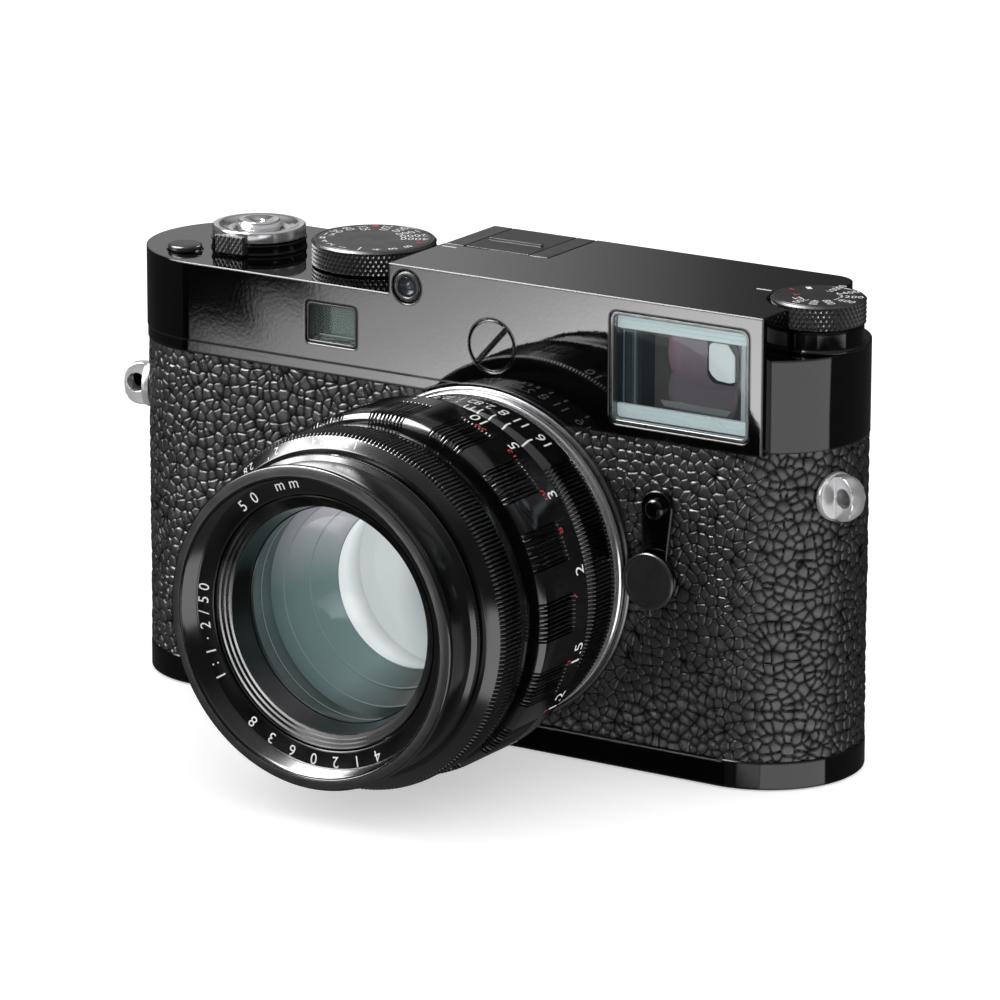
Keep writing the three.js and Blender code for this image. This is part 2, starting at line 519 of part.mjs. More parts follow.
// ---- Lens ---------------------------------------------------------------------------------------------
// Turned pieces of the lens: [name, material, profile], where a profile is a list of [radius, s].
const LENS_PIECES = [
  ["lens_base_ring", silver, [
    [19.8, -5.5], [21.7, -5.5], [21.7, 0.6], [28.1, 0.6], [28.1, 3.3], [24.6, 3.3], [24.6, 2], [19.8, 2],
  ]],
  ["fixed_scale_ring", satinBlack, [
    [24.6, 3.6], [28.2, 3.6], [28.2, 10], [27, 11.3], [26.2, 11.4], [26.2, 20], [24.6, 20],
  ]],
  ["focus_ring", satinBlack, [
    [26.6, 15.6], [30.2, 15.6], [30.7, 16.1], [30.7, 28.7], [29.8, 29.6], [26.6, 29.6],
  ]],
  ["aperture_ring", satinBlack, [
    [24.5, 32.4], [29.3, 32.4], [29.6, 32.8], [29.9, 35.2], [30, 40.2], [29.5, 40.8], [27.6, 42.3],
    [24.5, 42.3],
  ]],
  ["lens_barrel", satinBlack, [
    [19.6, 3], [24.2, 3], [24.2, 29.9], [27.4, 29.9], [27.4, 32.1], [24.2, 32.1], [24.2, 42.6], [20.8, 42.6],
    [19.6, 40],
  ]],
  ["front_barrel", blackPaint, [
    [21.5, 42.9], [26.8, 42.9], [26.8, 44], [26.2, 44.4], [26, 47], [26.3, 50], [27, 50.9], [27, 52.26],
    [24.95, 52.26], [24.95, 46], [21.5, 46],
  ]],
  ["name_ring", satinBlack, [[21.4, 46.3], [24.6, 46.3], [24.6, 48.7], [21.4, 48.1]]],
  ["lens_baffle", satinBlack, [[18.4, 42.9], [21.1, 42.9], [21.1, 47.6], [18.9, 46.4]]],
  ["front_glass", glass, [[0, 36], [18.1, 38], [18.1, 42], [14, 43.6], [9, 44.8], [0, 45.4]]],
  ["middle_glass", glass, [[0, 24], [15, 23], [15, 30], [8, 31.2], [0, 31.6]]],
  ["rear_glass", glass, [[0, -4.6], [8, -4], [13, -2.5], [13, 2], [0, 2.6]]],
  ["rear_cell", satinBlack, [[13.3, -5], [19.2, -5], [19.2, 2.6], [13.3, 2.6]]],
  ["iris_diaphragm", steel, [[14, 20], [19.3, 20], [19.3, 20.8], [14, 20.8]]],
];

function lensPieces() {
  for (const [name, material, profile] of LENS_PIECES) {
    part(name, onLens(profile), material);
  }
}

basePlate();
tripodSocket();
bodyShell();
leatherCovering();
topCover();
viewfinderWindow();
viewfinderHousing();
rangefinderWindow();
sensorWindow();
slottedCover();
hotShoe();
shoeCover();
strapLug(-1, "strap_lug_left");
strapLug(1, "strap_lug_right");
shutterDial();
shutterRelease();
functionButton();
isoDial();
mountRing();
lensRelease();
frameLever();
rearPanel();
rearButtons();
thumbWheel();
eyepiece();
insides();
battery();
batteryLever();
lensPieces();

export default root;
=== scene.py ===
import json
import math

import bmesh
import bpy
import numpy as np
from mathutils import Matrix, Vector

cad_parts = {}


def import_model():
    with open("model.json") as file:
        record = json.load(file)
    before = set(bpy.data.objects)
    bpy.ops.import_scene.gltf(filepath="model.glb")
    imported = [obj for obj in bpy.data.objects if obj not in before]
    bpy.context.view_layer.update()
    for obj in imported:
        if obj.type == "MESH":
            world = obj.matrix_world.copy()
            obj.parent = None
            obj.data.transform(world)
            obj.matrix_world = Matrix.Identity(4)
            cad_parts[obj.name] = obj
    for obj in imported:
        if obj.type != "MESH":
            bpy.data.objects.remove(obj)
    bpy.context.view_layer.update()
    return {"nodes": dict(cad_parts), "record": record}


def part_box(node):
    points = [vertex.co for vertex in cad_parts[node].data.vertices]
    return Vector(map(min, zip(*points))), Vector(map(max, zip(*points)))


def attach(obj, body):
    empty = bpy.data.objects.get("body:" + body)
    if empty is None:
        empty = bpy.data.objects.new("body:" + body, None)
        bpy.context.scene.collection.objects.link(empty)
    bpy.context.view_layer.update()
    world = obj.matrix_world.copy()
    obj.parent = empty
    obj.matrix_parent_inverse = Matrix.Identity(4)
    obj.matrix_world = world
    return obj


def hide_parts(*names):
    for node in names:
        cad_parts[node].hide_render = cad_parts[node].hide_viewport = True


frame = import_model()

# The looks of a rangefinder camera. Lengths are in millimetres until mesh() and solid() scale them to metres,
# except in the studio, which is in metres.
# The front plane of the raised panel is at y = FRONT, and s counts forwards from it along the lens axis.
MM = 0.001
NODES = frame["nodes"]
RNG = np.random.default_rng(11)


def span(node):
    low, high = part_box(node)
    return np.array(low) / MM, np.array(high) / MM


def middle(node):
    low, high = span(node)
    return (low + high) / 2


FRONT = span("top_cover")[0][1]
BODY_LOW, BODY_HIGH = span("base_plate")
END_RADIUS = 16.3
BASE_TOP = BODY_HIGH[2]
COVER_TOP = span("top_cover")[1][2]
LENS_X, _, LENS_Z = middle("focus_ring")
SHOULDER_LEFT, SHOULDER_RIGHT = 75.4, 73.0
LEATHER_TOP_LEFT = span("leather_left")[1][2]
LEATHER_TOP_RIGHT = span("leather_right")[1][2]
COVER_GAP = 0.3
FIT_GAP = 0.3
MARK_LIFT = 0.03
PANEL_BOTTOM = 61.7
BLOCK_LEFT, BLOCK_RIGHT, BLOCK_BACK = -11.3, 61.0, FRONT + 33


# ---- Materials ---------------------------------------------------------------------------------------------
class Paint:
    """A node material that is built up a step at a time, with its textures in object space."""

    def __init__(self, name, color, roughness, metallic=0.0, ior=1.5):
        self.material = bpy.data.materials.new(name)
        self.material.use_nodes = True
        self.tree = self.material.node_tree
        self.shader = self.tree.nodes["Principled BSDF"]
        self.place = self.node("ShaderNodeTexCoord").outputs["Object"]
        self.set("Base Color", (*color, 1))
        self.set("Roughness", roughness)
        self.set("Metallic", metallic)
        self.set("IOR", ior)

    def set(self, socket, value):
        self.shader.inputs[socket].default_value = value

    def node(self, kind, **values):
        made = self.tree.nodes.new(kind)
        for key, value in values.items():
            setattr(made, key, value)
        return made

    def link(self, start, end):
        self.tree.links.new(start, end)

    def noise(self, per_mm, detail=2.0, stretch=(1, 1, 1)):
        mapping = self.node("ShaderNodeMapping")
        mapping.inputs["Scale"].default_value = stretch
        self.link(self.place, mapping.inputs["Vector"])
        texture = self.node("ShaderNodeTexNoise")
        texture.inputs["Scale"].default_value = per_mm / MM
        texture.inputs["Detail"].default_value = detail
        self.link(mapping.outputs["Vector"], texture.inputs["Vector"])
        return texture.outputs["Fac"]

    def ranged(self, factor, low, high, start=0.3, end=0.7):
        made = self.node("ShaderNodeMapRange")
        made.inputs["From Min"].default_value = start
        made.inputs["From Max"].default_value = end
        made.inputs["To Min"].default_value = low
        made.inputs["To Max"].default_value = high
        self.link(factor, made.inputs["Value"])
        return made.outputs["Result"]

    def uneven(self, per_mm, low, high):
        """Roughness that drifts between low and high over patches."""
        self.link(self.ranged(self.noise(per_mm), low, high), self.shader.inputs["Roughness"])
        return self

    def tones(self, per_mm, first, second, detail=3.0):
        mix = self.node("ShaderNodeMix", data_type="RGBA")
        mix.inputs[6].default_value = (*first, 1)
        mix.inputs[7].default_value = (*second, 1)
        self.link(self.noise(per_mm, detail), mix.inputs[0])
        self.link(mix.outputs[2], self.shader.inputs["Base Color"])
        return self

    def bumps(self, per_mm, height, detail=2.0, stretch=(1, 1, 1)):
        bump = self.node("ShaderNodeBump")
        bump.inputs["Strength"].default_value = 1.0
        bump.inputs["Distance"].default_value = height * MM
        self.link(self.noise(per_mm, detail, stretch), bump.inputs["Height"])
        previous = self.shader.inputs["Normal"]
        if previous.is_linked:
            self.link(previous.links[0].from_socket, bump.inputs["Normal"])
        self.link(bump.outputs["Normal"], previous)
        return self

    def rounded_edges(self, radius):
        """Turns the shading normal over each edge, within a radius in mm. The mesh keeps its shape."""
        corner = self.node("ShaderNodeBevel", samples=6)
        corner.inputs["Radius"].default_value = radius * MM
        self.link(corner.outputs["Normal"], self.shader.inputs["Normal"])
        return self

    def paint_crease_shade(self):
        """Painted shade in creases: darkens the base colour, and dims the gloss, by the mesh's own vertex
        colours.
        """
        tint = self.node("ShaderNodeVertexColor", layer_name="tint")
        mix = self.node("ShaderNodeMix", data_type="RGBA", blend_type="MULTIPLY")
        mix.inputs[0].default_value = 1.0
        color = self.shader.inputs["Base Color"]
        self.link(color.links[0].from_socket, mix.inputs[6])
        self.link(tint.outputs["Color"], mix.inputs[7])
        self.link(mix.outputs[2], color)
        crease_gloss_shade = self.node("ShaderNodeMath", operation="MULTIPLY")
        crease_gloss_shade.inputs[1].default_value = 0.75
        self.link(tint.outputs["Color"], crease_gloss_shade.inputs[0])
        self.link(crease_gloss_shade.outputs[0], self.shader.inputs["Specular IOR Level"])
        return self

    def tint_with_painted_glow(self, glow):
        """Colour from the mesh's own vertex colours, and a soft glow of the same colours that is painted
        light.
        """
        tint = self.node("ShaderNodeVertexColor", layer_name="tint")
        self.link(tint.outputs["Color"], self.shader.inputs["Base Color"])
        self.link(tint.outputs["Color"], self.shader.inputs["Emission Color"])
        self.set("Emission Strength", glow)
        return self


def clear_glass(name, tint, ior, roughness=0.01):
    """Thin coated glass: a tint over what is behind it, and a mirror image that grows at the edge."""
    paint = Paint(name, tint, roughness)
    through = paint.node("ShaderNodeBsdfTransparent")
    through.inputs["Color"].default_value = (*tint, 1)
    mirror = paint.node("ShaderNodeBsdfGlossy")
    mirror.inputs["Roughness"].default_value = roughness
    fresnel = paint.node("ShaderNodeFresnel")
    fresnel.inputs["IOR"].default_value = ior
    bump = paint.node("ShaderNodeBump")
    bump.inputs["Distance"].default_value = 0.002 * MM
    paint.link(paint.noise(0.15), bump.inputs["Height"])
    paint.link(bump.outputs["Normal"], mirror.inputs["Normal"])
    mix = paint.node("ShaderNodeMixShader")
    paint.link(fresnel.outputs["Fac"], mix.inputs[0])
    paint.link(through.outputs["BSDF"], mix.inputs[1])
    paint.link(mirror.outputs["BSDF"], mix.inputs[2])
    paint.link(mix.outputs["Shader"], paint.tree.nodes["Material Output"].inputs["Surface"])
    paint.tree.nodes.remove(paint.shader)
    return paint.material


def make_materials():
    made = {}
    gloss = Paint("gloss_black_paint", (0.003, 0.003, 0.0032), 0.1, ior=1.6)
    gloss.tones(0.05, (0.002, 0.002, 0.0022), (0.004, 0.004, 0.0043)).uneven(0.08, 0.025, 0.045)
    made["black_paint"] = gloss.rounded_edges(0.5).bumps(1.4, 0.0016).bumps(0.1, 0.003)
    lens = Paint("lens_black_paint", (0.005, 0.005, 0.0053), 0.16, ior=1.85)
    lens.tones(0.1, (0.003, 0.003, 0.0032), (0.006, 0.006, 0.0063)).uneven(0.15, 0.12, 0.2)
    made["lens_black"] = lens.bumps(1.5, 0.0015)
    satin = Paint("satin_black", (0.02, 0.02, 0.021), 0.32, ior=1.7)
    satin.tones(0.6, (0.016, 0.016, 0.017), (0.026, 0.026, 0.027)).uneven(0.3, 0.28, 0.38)
    made["satin_black"] = satin.bumps(5.0, 0.006)
    made["body_frame"] = Paint("frame_metal", (0.03, 0.03, 0.032), 0.4).uneven(0.2, 0.35, 0.5).bumps(3.0,
                                                                                                     0.004)
    leather = Paint("black_leather", (0.018, 0.018, 0.019), 0.34, ior=1.55)
    leather.tones(0.5, (0.013, 0.013, 0.014), (0.025, 0.025, 0.026)).uneven(0.4, 0.26, 0.4).paint_crease_shade()
    made["leather"] = leather.bumps(2.2, 0.04, 4.0).bumps(7.0, 0.02)
    bright = Paint("polished_metal", (0.86, 0.86, 0.87), 0.15, metallic=0.85)
    made["bright_metal"] = bright.uneven(0.4, 0.1, 0.2).bumps(6.0, 0.0012)
    silver = Paint("satin_silver", (0.8, 0.8, 0.81), 0.34, metallic=0.75)
    made["satin_silver"] = silver.uneven(0.4, 0.28, 0.4).bumps(5.0, 0.002)
    grey = Paint("satin_grey_metal", (0.2, 0.2, 0.205), 0.3, metallic=1)
    grey.tones(0.8, (0.18, 0.18, 0.185), (0.23, 0.23, 0.235)).uneven(0.5, 0.26, 0.36)
    made["grey_metal"] = grey.bumps(6.0, 0.002)
    steel = Paint("brushed_steel", (0.45, 0.45, 0.46), 0.35, metallic=1)
    made["steel"] = steel.uneven(0.3, 0.3, 0.4).bumps(3.0, 0.003, stretch=(0.1, 1, 1))
    brass = Paint("brass", (0.55, 0.42, 0.2), 0.3, metallic=1)
    made["brass"] = brass.uneven(0.2, 0.25, 0.4).bumps(2.0, 0.003)
    frosted = Paint("frosted_glass", (0.56, 0.6, 0.61), 0.3)
    frosted.tones(0.25, (0.52, 0.56, 0.57), (0.6, 0.64, 0.65)).uneven(0.3, 0.25, 0.4)
    # Painted light: the frosted glass glows, standing in for daylight coming through it.
    frosted.set("Emission Color", (0.56, 0.6, 0.61, 1))
    frosted.set("Emission Strength", 0.3)
    made["frosted"] = frosted.bumps(1.5, 0.004, stretch=(0.05, 1, 4))
    plastic = Paint("black_plastic", (0.03, 0.03, 0.032), 0.42)
    plastic.tones(0.8, (0.026, 0.026, 0.028), (0.036, 0.036, 0.038)).uneven(0.4, 0.36, 0.48)
    made["plastic"] = plastic.bumps(3.5, 0.02, 3.0)
    white = Paint("white_engraving", (0.82, 0.82, 0.8), 0.5).tones(0.6, (0.78, 0.78, 0.76),
                                                                   (0.86, 0.86, 0.84))
    made["white"] = white.bumps(6.0, 0.002)
    red = Paint("red_engraving", (0.55, 0.02, 0.03), 0.5).tones(0.6, (0.5, 0.015, 0.02), (0.62, 0.03, 0.04))
    made["red"] = red.bumps(6.0, 0.002)
    board = Paint("circuit_board", (0.02, 0.08, 0.03), 0.5)
    made["board"] = board.tones(0.5, (0.015, 0.07, 0.025), (0.03, 0.1, 0.04)).bumps(1.0, 0.02)
    deep = Paint("deep_matt_black", (0.004, 0.004, 0.0042), 0.6)
    made["deep"] = deep.tones(0.5, (0.003, 0.003, 0.0032), (0.006, 0.006, 0.0062)).bumps(1.2, 0.01)
    # Painted light: pieces in this material glow with their vertex colours, standing in for the lit view and
    # reflections seen in windows and the lens.
    coated = Paint("painted_glow_optics", (0.2, 0.2, 0.2), 0.25)
    made["coated"] = coated.tint_with_painted_glow(0.55).bumps(0.3, 0.004)
    return {key: value.material for key, value in made.items()}


MATERIALS = make_materials()
MATERIALS["glass"] = clear_glass("coated_glass", (0.9, 0.94, 0.94), 1.14)
MATERIALS["lens_glass"] = clear_glass("lens_glass", (0.93, 0.97, 0.96), 1.25)


# ---- Meshes ------------------------------------------------------------------------------------------------
def joined(shapes):
    """Several (vertices, faces) as one."""
    verts, faces, offset = [], [], 0
    for points, polygons in shapes:
        verts.append(np.asarray(points, float))
        faces += [tuple(int(i) + offset for i in polygon) for polygon in polygons]
        offset += len(points)
    return np.concatenate(verts), faces


def mesh(name, shape, material, body, replaces=(), smooth=35, recalc=False):
    """Adds a piece to the scene, riding on a body and standing for the CAD nodes it replaces."""
    points, faces = shape
    data = bpy.data.meshes.new(name)
    data.from_pydata((np.asarray(points) * MM).tolist(), [], [tuple(f) for f in faces])
    data.materials.append(MATERIALS[material])
    if recalc:
        outward(data)
    data.shade_smooth()
    data.set_sharp_from_angle(angle=math.radians(smooth))
    made = bpy.data.objects.new(name, data)
    bpy.context.scene.collection.objects.link(made)
    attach(made, body)
    if replaces:
        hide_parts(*replaces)
    return made


def outward(data):
    work = bmesh.new()
    work.from_mesh(data)
    bmesh.ops.recalc_face_normals(work, faces=work.faces)
    work.to_mesh(data)
    work.free()


def bevel(piece, width, segments=3, angle=40, clamp=False):
    """Softens edges sharper than an angle. clamp keeps the bevel within the smallest face that it meets."""
    modifier = piece.modifiers.new("soft_edges", "BEVEL")
    modifier.width = width * MM
    modifier.segments = segments
    modifier.limit_method = "ANGLE"
    modifier.angle_limit = math.radians(angle)
    modifier.use_clamp_overlap = clamp
    weighted = piece.modifiers.new("flat_faces", "WEIGHTED_NORMAL")
    weighted.weight = 100
    weighted.keep_sharp = False
    return piece


def softened(profile, radius=0.15, closed=True):
    """A profile with each corner rounded by a short curve."""
    points = [np.array(p, float) for p in profile]
    count = len(points)
    made = []
    for i, point in enumerate(points):
        if not closed and i in (0, count - 1) or point[0] < 1e-6:
            made.append(point)
            continue
        before, after = points[i - 1] - point, points[(i + 1) % count] - point
        cut = min(radius, 0.4 * np.linalg.norm(before), 0.4 * np.linalg.norm(after))
        start = point + before / np.linalg.norm(before) * cut
        end = point + after / np.linalg.norm(after) * cut
        for t in (0, 1 / 3, 2 / 3, 1):
            made.append((1 - t) ** 2 * start + 2 * t * (1 - t) * point + t * t * end)
    return [tuple(p) for p in made]


def lathe(profile, sides, place, relief=None, closed=True):
    """A turned surface. profile is (radius, height); relief(theta, height, radius) is added to the radius."""
    points = np.array(profile, float)
    area = np.sum(points[:, 0] * np.roll(points[:, 1], -1) - np.roll(points[:, 0], -1) * points[:, 1])
    if area < 0:
        points = points[::-1]
    theta = np.linspace(0, 2 * np.pi, sides, endpoint=False)[None, :]
    radius, height = points[:, :1], points[:, 1:]
    full = radius + (relief(theta, height, radius) if relief else 0 * theta)
    full = np.maximum(full, 0.0005)
    verts = place(full * np.cos(theta), full * np.sin(theta), height + 0 * theta).reshape(-1, 3)
    rows = len(points)
    j = np.arange(rows if closed else rows - 1)[:, None]
    i = np.arange(sides)[None, :]
    up, right = (j + 1) % rows, (i + 1) % sides
    quads = np.stack([j * sides + i, j * sides + right, up * sides + right, up * sides + i], -1)
    return verts, quads.reshape(-1, 4).tolist()


def grid_quads(columns, rows):
    """The faces of an open grid whose points run column by column."""
    i, j = np.meshgrid(np.arange(columns - 1), np.arange(rows - 1), indexing="ij")
    return np.stack([i * rows + j, (i + 1) * rows + j, (i + 1) * rows + j + 1, i * rows + j + 1],
                    -1).reshape(-1, 4)


def lens_place(a, b, height):
    return np.stack([LENS_X + a, FRONT - height, LENS_Z + b], -1)


def forward_at(x, z):
    return lambda a, b, height: np.stack([x + a, FRONT - height, z + b], -1)


def upward_at(x, y):
    return lambda a, b, height: np.stack([x + a, y + b, height], -1)


def ramp(value, start, end):
    return np.clip((value - start) / (end - start), 0, 1)


def wave(value):
    """A triangle wave from 0 on whole numbers to 1 halfway between."""
    return 1 - 2 * np.abs(value - np.floor(value) - 0.5)


def knurl(count, depth, row, low, high):
    """Diamond knurling between two heights."""

    def relief(theta, height, radius):
        a, b = theta * count / (2 * np.pi), (height - low) / (2 * row)
        tips = np.minimum(wave(a + b), wave(a - b))
        inside = (height > low + 1e-3) & (height < high - 1e-3)
        return np.where(inside, -depth * (1 - tips), 0.0)

    return relief


def flutes(count, depth, low, high, flat=0.0, keep=None):
    """Straight flutes. flat is the share of crest, and keep(theta) is 0 where the ring stays smooth."""

    def relief(theta, height, radius):
        groove = 1 - ramp(wave(theta * count / (2 * np.pi)), 0, 1 - flat)
        inside = ((height > low) & (height < high)) * 1.0
        return -depth * groove * inside * (keep(theta) if keep else 1)

    return relief


def outline_prism(outline, low, high, axis="z"):
    """An outline of (a, b) raised from low to high along z (a, b are x, y) or along y (a, b are x, z)."""
    outline = np.array(outline, float)
    count = len(outline)
    levels = []
    for level in (low, high):
        column = np.full(count, float(level))
        order = (outline[:, 0], outline[:, 1], column) if axis == "z" else (outline[:, 0], column,
                                                                            outline[:, 1])
        levels.append(np.stack(order, -1))
    faces = [tuple(range(count)), tuple(range(2 * count - 1, count - 1, -1))]
    faces += [(i, (i + 1) % count, (i + 1) % count + count, i + count) for i in range(count)]
    return np.concatenate(levels), faces


def cuboid(x0, x1, y0, y1, z0, z1):
    return outline_prism([(x0, y0), (x1, y0), (x1, y1), (x0, y1)], z0, z1)


def disc_prism(x, z, radius, low, high, sides=64, axis="y"):
    angles = np.linspace(0, 2 * np.pi, sides, endpoint=False)
    outline = np.stack([x + radius * np.cos(angles), z + radius * np.sin(angles)], -1)
    return outline_prism(outline, low, high, axis)


def rounded(x0, x1, z0, z1, radius, segments=10):
    """The outline of a rectangle with round corners. radius is one number, or one for each corner."""
    radii = [radius] * 4 if np.isscalar(radius) else radius
    corners = [(x1, z0, -1, 1, -90), (x1, z1, -1, -1, 0), (x0, z1, 1, -1, 90), (x0, z0, 1, 1, 180)]
    points = []
    for (x, z, sx, sz, start), r in zip(corners, radii):
        for angle in np.radians(start + np.linspace(0, 90, segments + 1)):
            points.append((x + sx * r + r * math.cos(angle), z + sz * r + r * math.sin(angle)))
    return points


def body_plan(inset=0.0, segments=32):
    x0, x1 = BODY_LOW[0] + inset, BODY_HIGH[0] - inset
    return rounded(x0, x1, BODY_LOW[1] + inset, BODY_HIGH[1] - inset, END_RADIUS - inset, segments)


# ---- Solids that are cut and joined ------------------------------------------------------------------------
def solid(shape):
    data = bpy.data.meshes.new("solid")
    data.from_pydata((np.asarray(shape[0]) * MM).tolist(), [], [tuple(f) for f in shape[1]])
    outward(data)
    made = bpy.data.objects.new("solid", data)
    bpy.context.scene.collection.objects.link(made)
    return made


def combined(first, operations, merge=True):
    """The first shape with others joined or cut from it. merge then joins close points and flat faces."""
    target = solid(first)
    for operation, shape in operations:
        tool = solid(shape)
        modifier = target.modifiers.new("cut", "BOOLEAN")
        modifier.operation = operation
        modifier.solver = "EXACT"
        modifier.object = tool
        graph = bpy.context.evaluated_depsgraph_get()
        result = bpy.data.meshes.new_from_object(target.evaluated_get(graph))
        target.modifiers.clear()
        target.data = result
        bpy.data.objects.remove(tool)
    if not merge:
        return target
    work = bmesh.new()
    work.from_mesh(target.data)
    bmesh.ops.remove_doubles(work, verts=work.verts, dist=0.01 * MM)
    bmesh.ops.dissolve_limit(work, angle_limit=math.radians(0.5), verts=work.verts, edges=work.edges)
    work.to_mesh(target.data)
    work.free()
    return target


def finished(made, name, material, body, replaces=(), width=0.3, clamp=False):
    """Names and dresses a solid, sets it on its body and bevels its edges by width, if any."""
    made.name = name
    made.data.name = name
    made.data.materials.clear()
    made.data.materials.append(MATERIALS[material])
    made.data.shade_smooth()
    made.data.set_sharp_from_angle(angle=math.radians(30))
    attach(made, body)
    if replaces:
        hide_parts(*replaces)
    return bevel(made, width, clamp=clamp) if width else made


# ---- Numbers and marks -------------------------------------------------------------------------------------
def glyphs(text, size, align="CENTER"):
    """A short run of figures as flat (a, b) points and faces, in mm, centred on its height."""
    curve = bpy.data.curves.new("figures", "FONT")
    curve.body = text
    curve.size = size
    curve.align_x = align
    curve.resolution_u = 4
    curve.space_character = 1.05
    holder = bpy.data.objects.new("figures", curve)
    flat = bpy.data.meshes.new_from_object(holder)
    points = np.array([v.co[:2] for v in flat.vertices], float).reshape(-1, 2)
    faces = [tuple(p.vertices) for p in flat.polygons]
    bpy.data.objects.remove(holder)
    bpy.data.meshes.remove(flat)
    points[:, 1] -= (points[:, 1].min() + points[:, 1].max()) / 2
    return points, faces


def bar(width, height, rows=12):
    """A straight mark, cut across into rows so that it follows the shape it lies on."""
    along = np.linspace(-height / 2, height / 2, rows + 1)
    points = np.array([(side * width / 2, level) for level in along for side in (-1, 1)])
    return points, [(2 * k, 2 * k + 1, 2 * k + 3, 2 * k + 2) for k in range(rows)]


def on_lens(drawing, angle, profile, middle_s=0.0, slope=1.0):
    """Wraps a drawing on a lens ring: a runs round the ring, b forwards. profile gives the radius at s."""
    points, faces = drawing
    turn = math.radians(angle)
    s = middle_s + points[:, 1] * slope
    radius = np.interp(s, [p[1] for p in profile], [p[0] for p in profile]) + MARK_LIFT
    theta = turn + points[:, 0] / radius
    return lens_place(radius * np.cos(theta), radius * np.sin(theta), s), faces


def on_front(drawing, angle, radius, profile):
    """Wraps a drawing on a ring that faces forwards: a runs clockwise and b outwards."""
    points, faces = drawing
    r = radius + points[:, 1]
    theta = math.radians(angle) - points[:, 0] / radius
    s = np.interp(r, [p[0] for p in profile], [p[1] for p in profile]) + MARK_LIFT
    return lens_place(r * np.cos(theta), r * np.sin(theta), s), faces


def on_dial(drawing, angle, centre, radius, height, inward=True):
    """Lays a drawing flat on a dial, reading inwards or outwards along its radius."""
    points, faces = drawing
    turn = math.radians(angle)
    out, side = np.array([math.cos(turn), math.sin(turn)]), np.array([-math.sin(turn), math.cos(turn)])
    sign = -1 if inward else 1
    flat = np.array(centre) + radius * out + sign * (points[:, :1] * out + points[:, 1:] * side)
    return np.column_stack([flat, np.full(len(flat), height + MARK_LIFT)]), faces


# ---- Body --------------------------------------------------------------------------------------------------
def top_cover():
    low = LEATHER_TOP_RIGHT + COVER_GAP
    back, half = BODY_HIGH[1], BODY_HIGH[0]
    ring = disc_prism(LENS_X, LENS_Z, 29.2, FRONT - 6, FRONT + 2, 128)
    slot, sensor = middle("slotted_cover"), middle("sensor_ring")
    shutter, collar, button, iso = (middle(n) for n in ("shutter_dial", "shutter_button", "function_button",
                                                        "iso_dial"))
    shoe_low, shoe_high = span("hot_shoe")
    eye, wheel = middle("eyepiece_ring"), middle("thumb_wheel")
    end = rounded(-half, half, FRONT, back, (back - FRONT) / 2, 40)
    left_end = [p for p in end if p[0] < BLOCK_LEFT + 1]
    left_end = [(BLOCK_LEFT + 1, back)] + left_end + [(BLOCK_LEFT + 1, FRONT)]
    block = rounded(BLOCK_LEFT, BLOCK_RIGHT, FRONT, BLOCK_BACK, (0.01, 5, 0.01, 0.01), 12)
    operations = [
        ("DIFFERENCE", cuboid(-half - 1, LENS_X, FRONT - 1, back + 1, low - 1, LEATHER_TOP_LEFT + COVER_GAP)),
        ("UNION", outline_prism(left_end, PANEL_BOTTOM, SHOULDER_LEFT)),
        ("UNION", outline_prism(block, 62, COVER_TOP)),
        ("UNION", cuboid(BLOCK_LEFT, LENS_X + 1, FRONT, FRONT + 3, PANEL_BOTTOM, COVER_TOP)),
        ("UNION", cuboid(LENS_X, BLOCK_RIGHT, FRONT, FRONT + 3, low, COVER_TOP)),
        ("DIFFERENCE", ring),
        ("DIFFERENCE", outline_prism(body_plan(3), 50, SHOULDER_RIGHT - 2)),
        ("DIFFERENCE", cuboid(26.5, BLOCK_RIGHT - 1.2, FRONT + 2, FRONT + 12, 58.3, 79.2)),
        ("DIFFERENCE", cuboid(-31, -15, FRONT + 2, FRONT + 8, 63, 73.6)),
        ("DIFFERENCE", outline_prism(rounded(31.9, 58.5, 59.2, 78.3, 1.4, 8), FRONT - 1, FRONT + 5, "y")),
        ("DIFFERENCE", outline_prism(rounded(-28.1, -17.7, 64.7, 72, 0.8, 8), FRONT - 1, FRONT + 5, "y")),
        ("DIFFERENCE", disc_prism(sensor[0], sensor[2], 2.9, FRONT - 1, FRONT + 1.3)),
        ("DIFFERENCE", disc_prism(slot[0], slot[2], 4.55, FRONT - 1, FRONT + 0.9)),
        ("DIFFERENCE", disc_prism(shutter[0], shutter[1], 3, 60, 90, 32, "z")),
        ("DIFFERENCE", disc_prism(collar[0], collar[1], 3.2, 60, 90, 32, "z")),
        ("DIFFERENCE", disc_prism(button[0], button[1], 2, 60, 90, 24, "z")),
        ("DIFFERENCE", disc_prism(button[0], button[1], 3.1, SHOULDER_LEFT - 0.8, 90, 48, "z")),
        ("DIFFERENCE", disc_prism(iso[0], iso[1], 3, 60, 90, 32, "z")),
        ("DIFFERENCE", disc_prism(iso[0], iso[1], 8.4, SHOULDER_RIGHT, 90, 96, "z")),
        ("DIFFERENCE", cuboid(shoe_low[0] - FIT_GAP, shoe_high[0] + FIT_GAP, shoe_low[1] - FIT_GAP, 60, 78,
                              90)),
        ("DIFFERENCE", disc_prism(eye[0], eye[2], 8.6, FRONT + 28, FRONT + 50)),
        ("DIFFERENCE", disc_prism(wheel[0], wheel[1], 7.9, wheel[2] - 2.7, wheel[2] + 2.7, 64, "z")),
    ]
    made = combined(outline_prism(body_plan(), low, SHOULDER_RIGHT), operations, merge=False)
    finished(made, "cover_shell", "black_paint", "camera_body", ["top_cover"], 0.3, clamp=True)


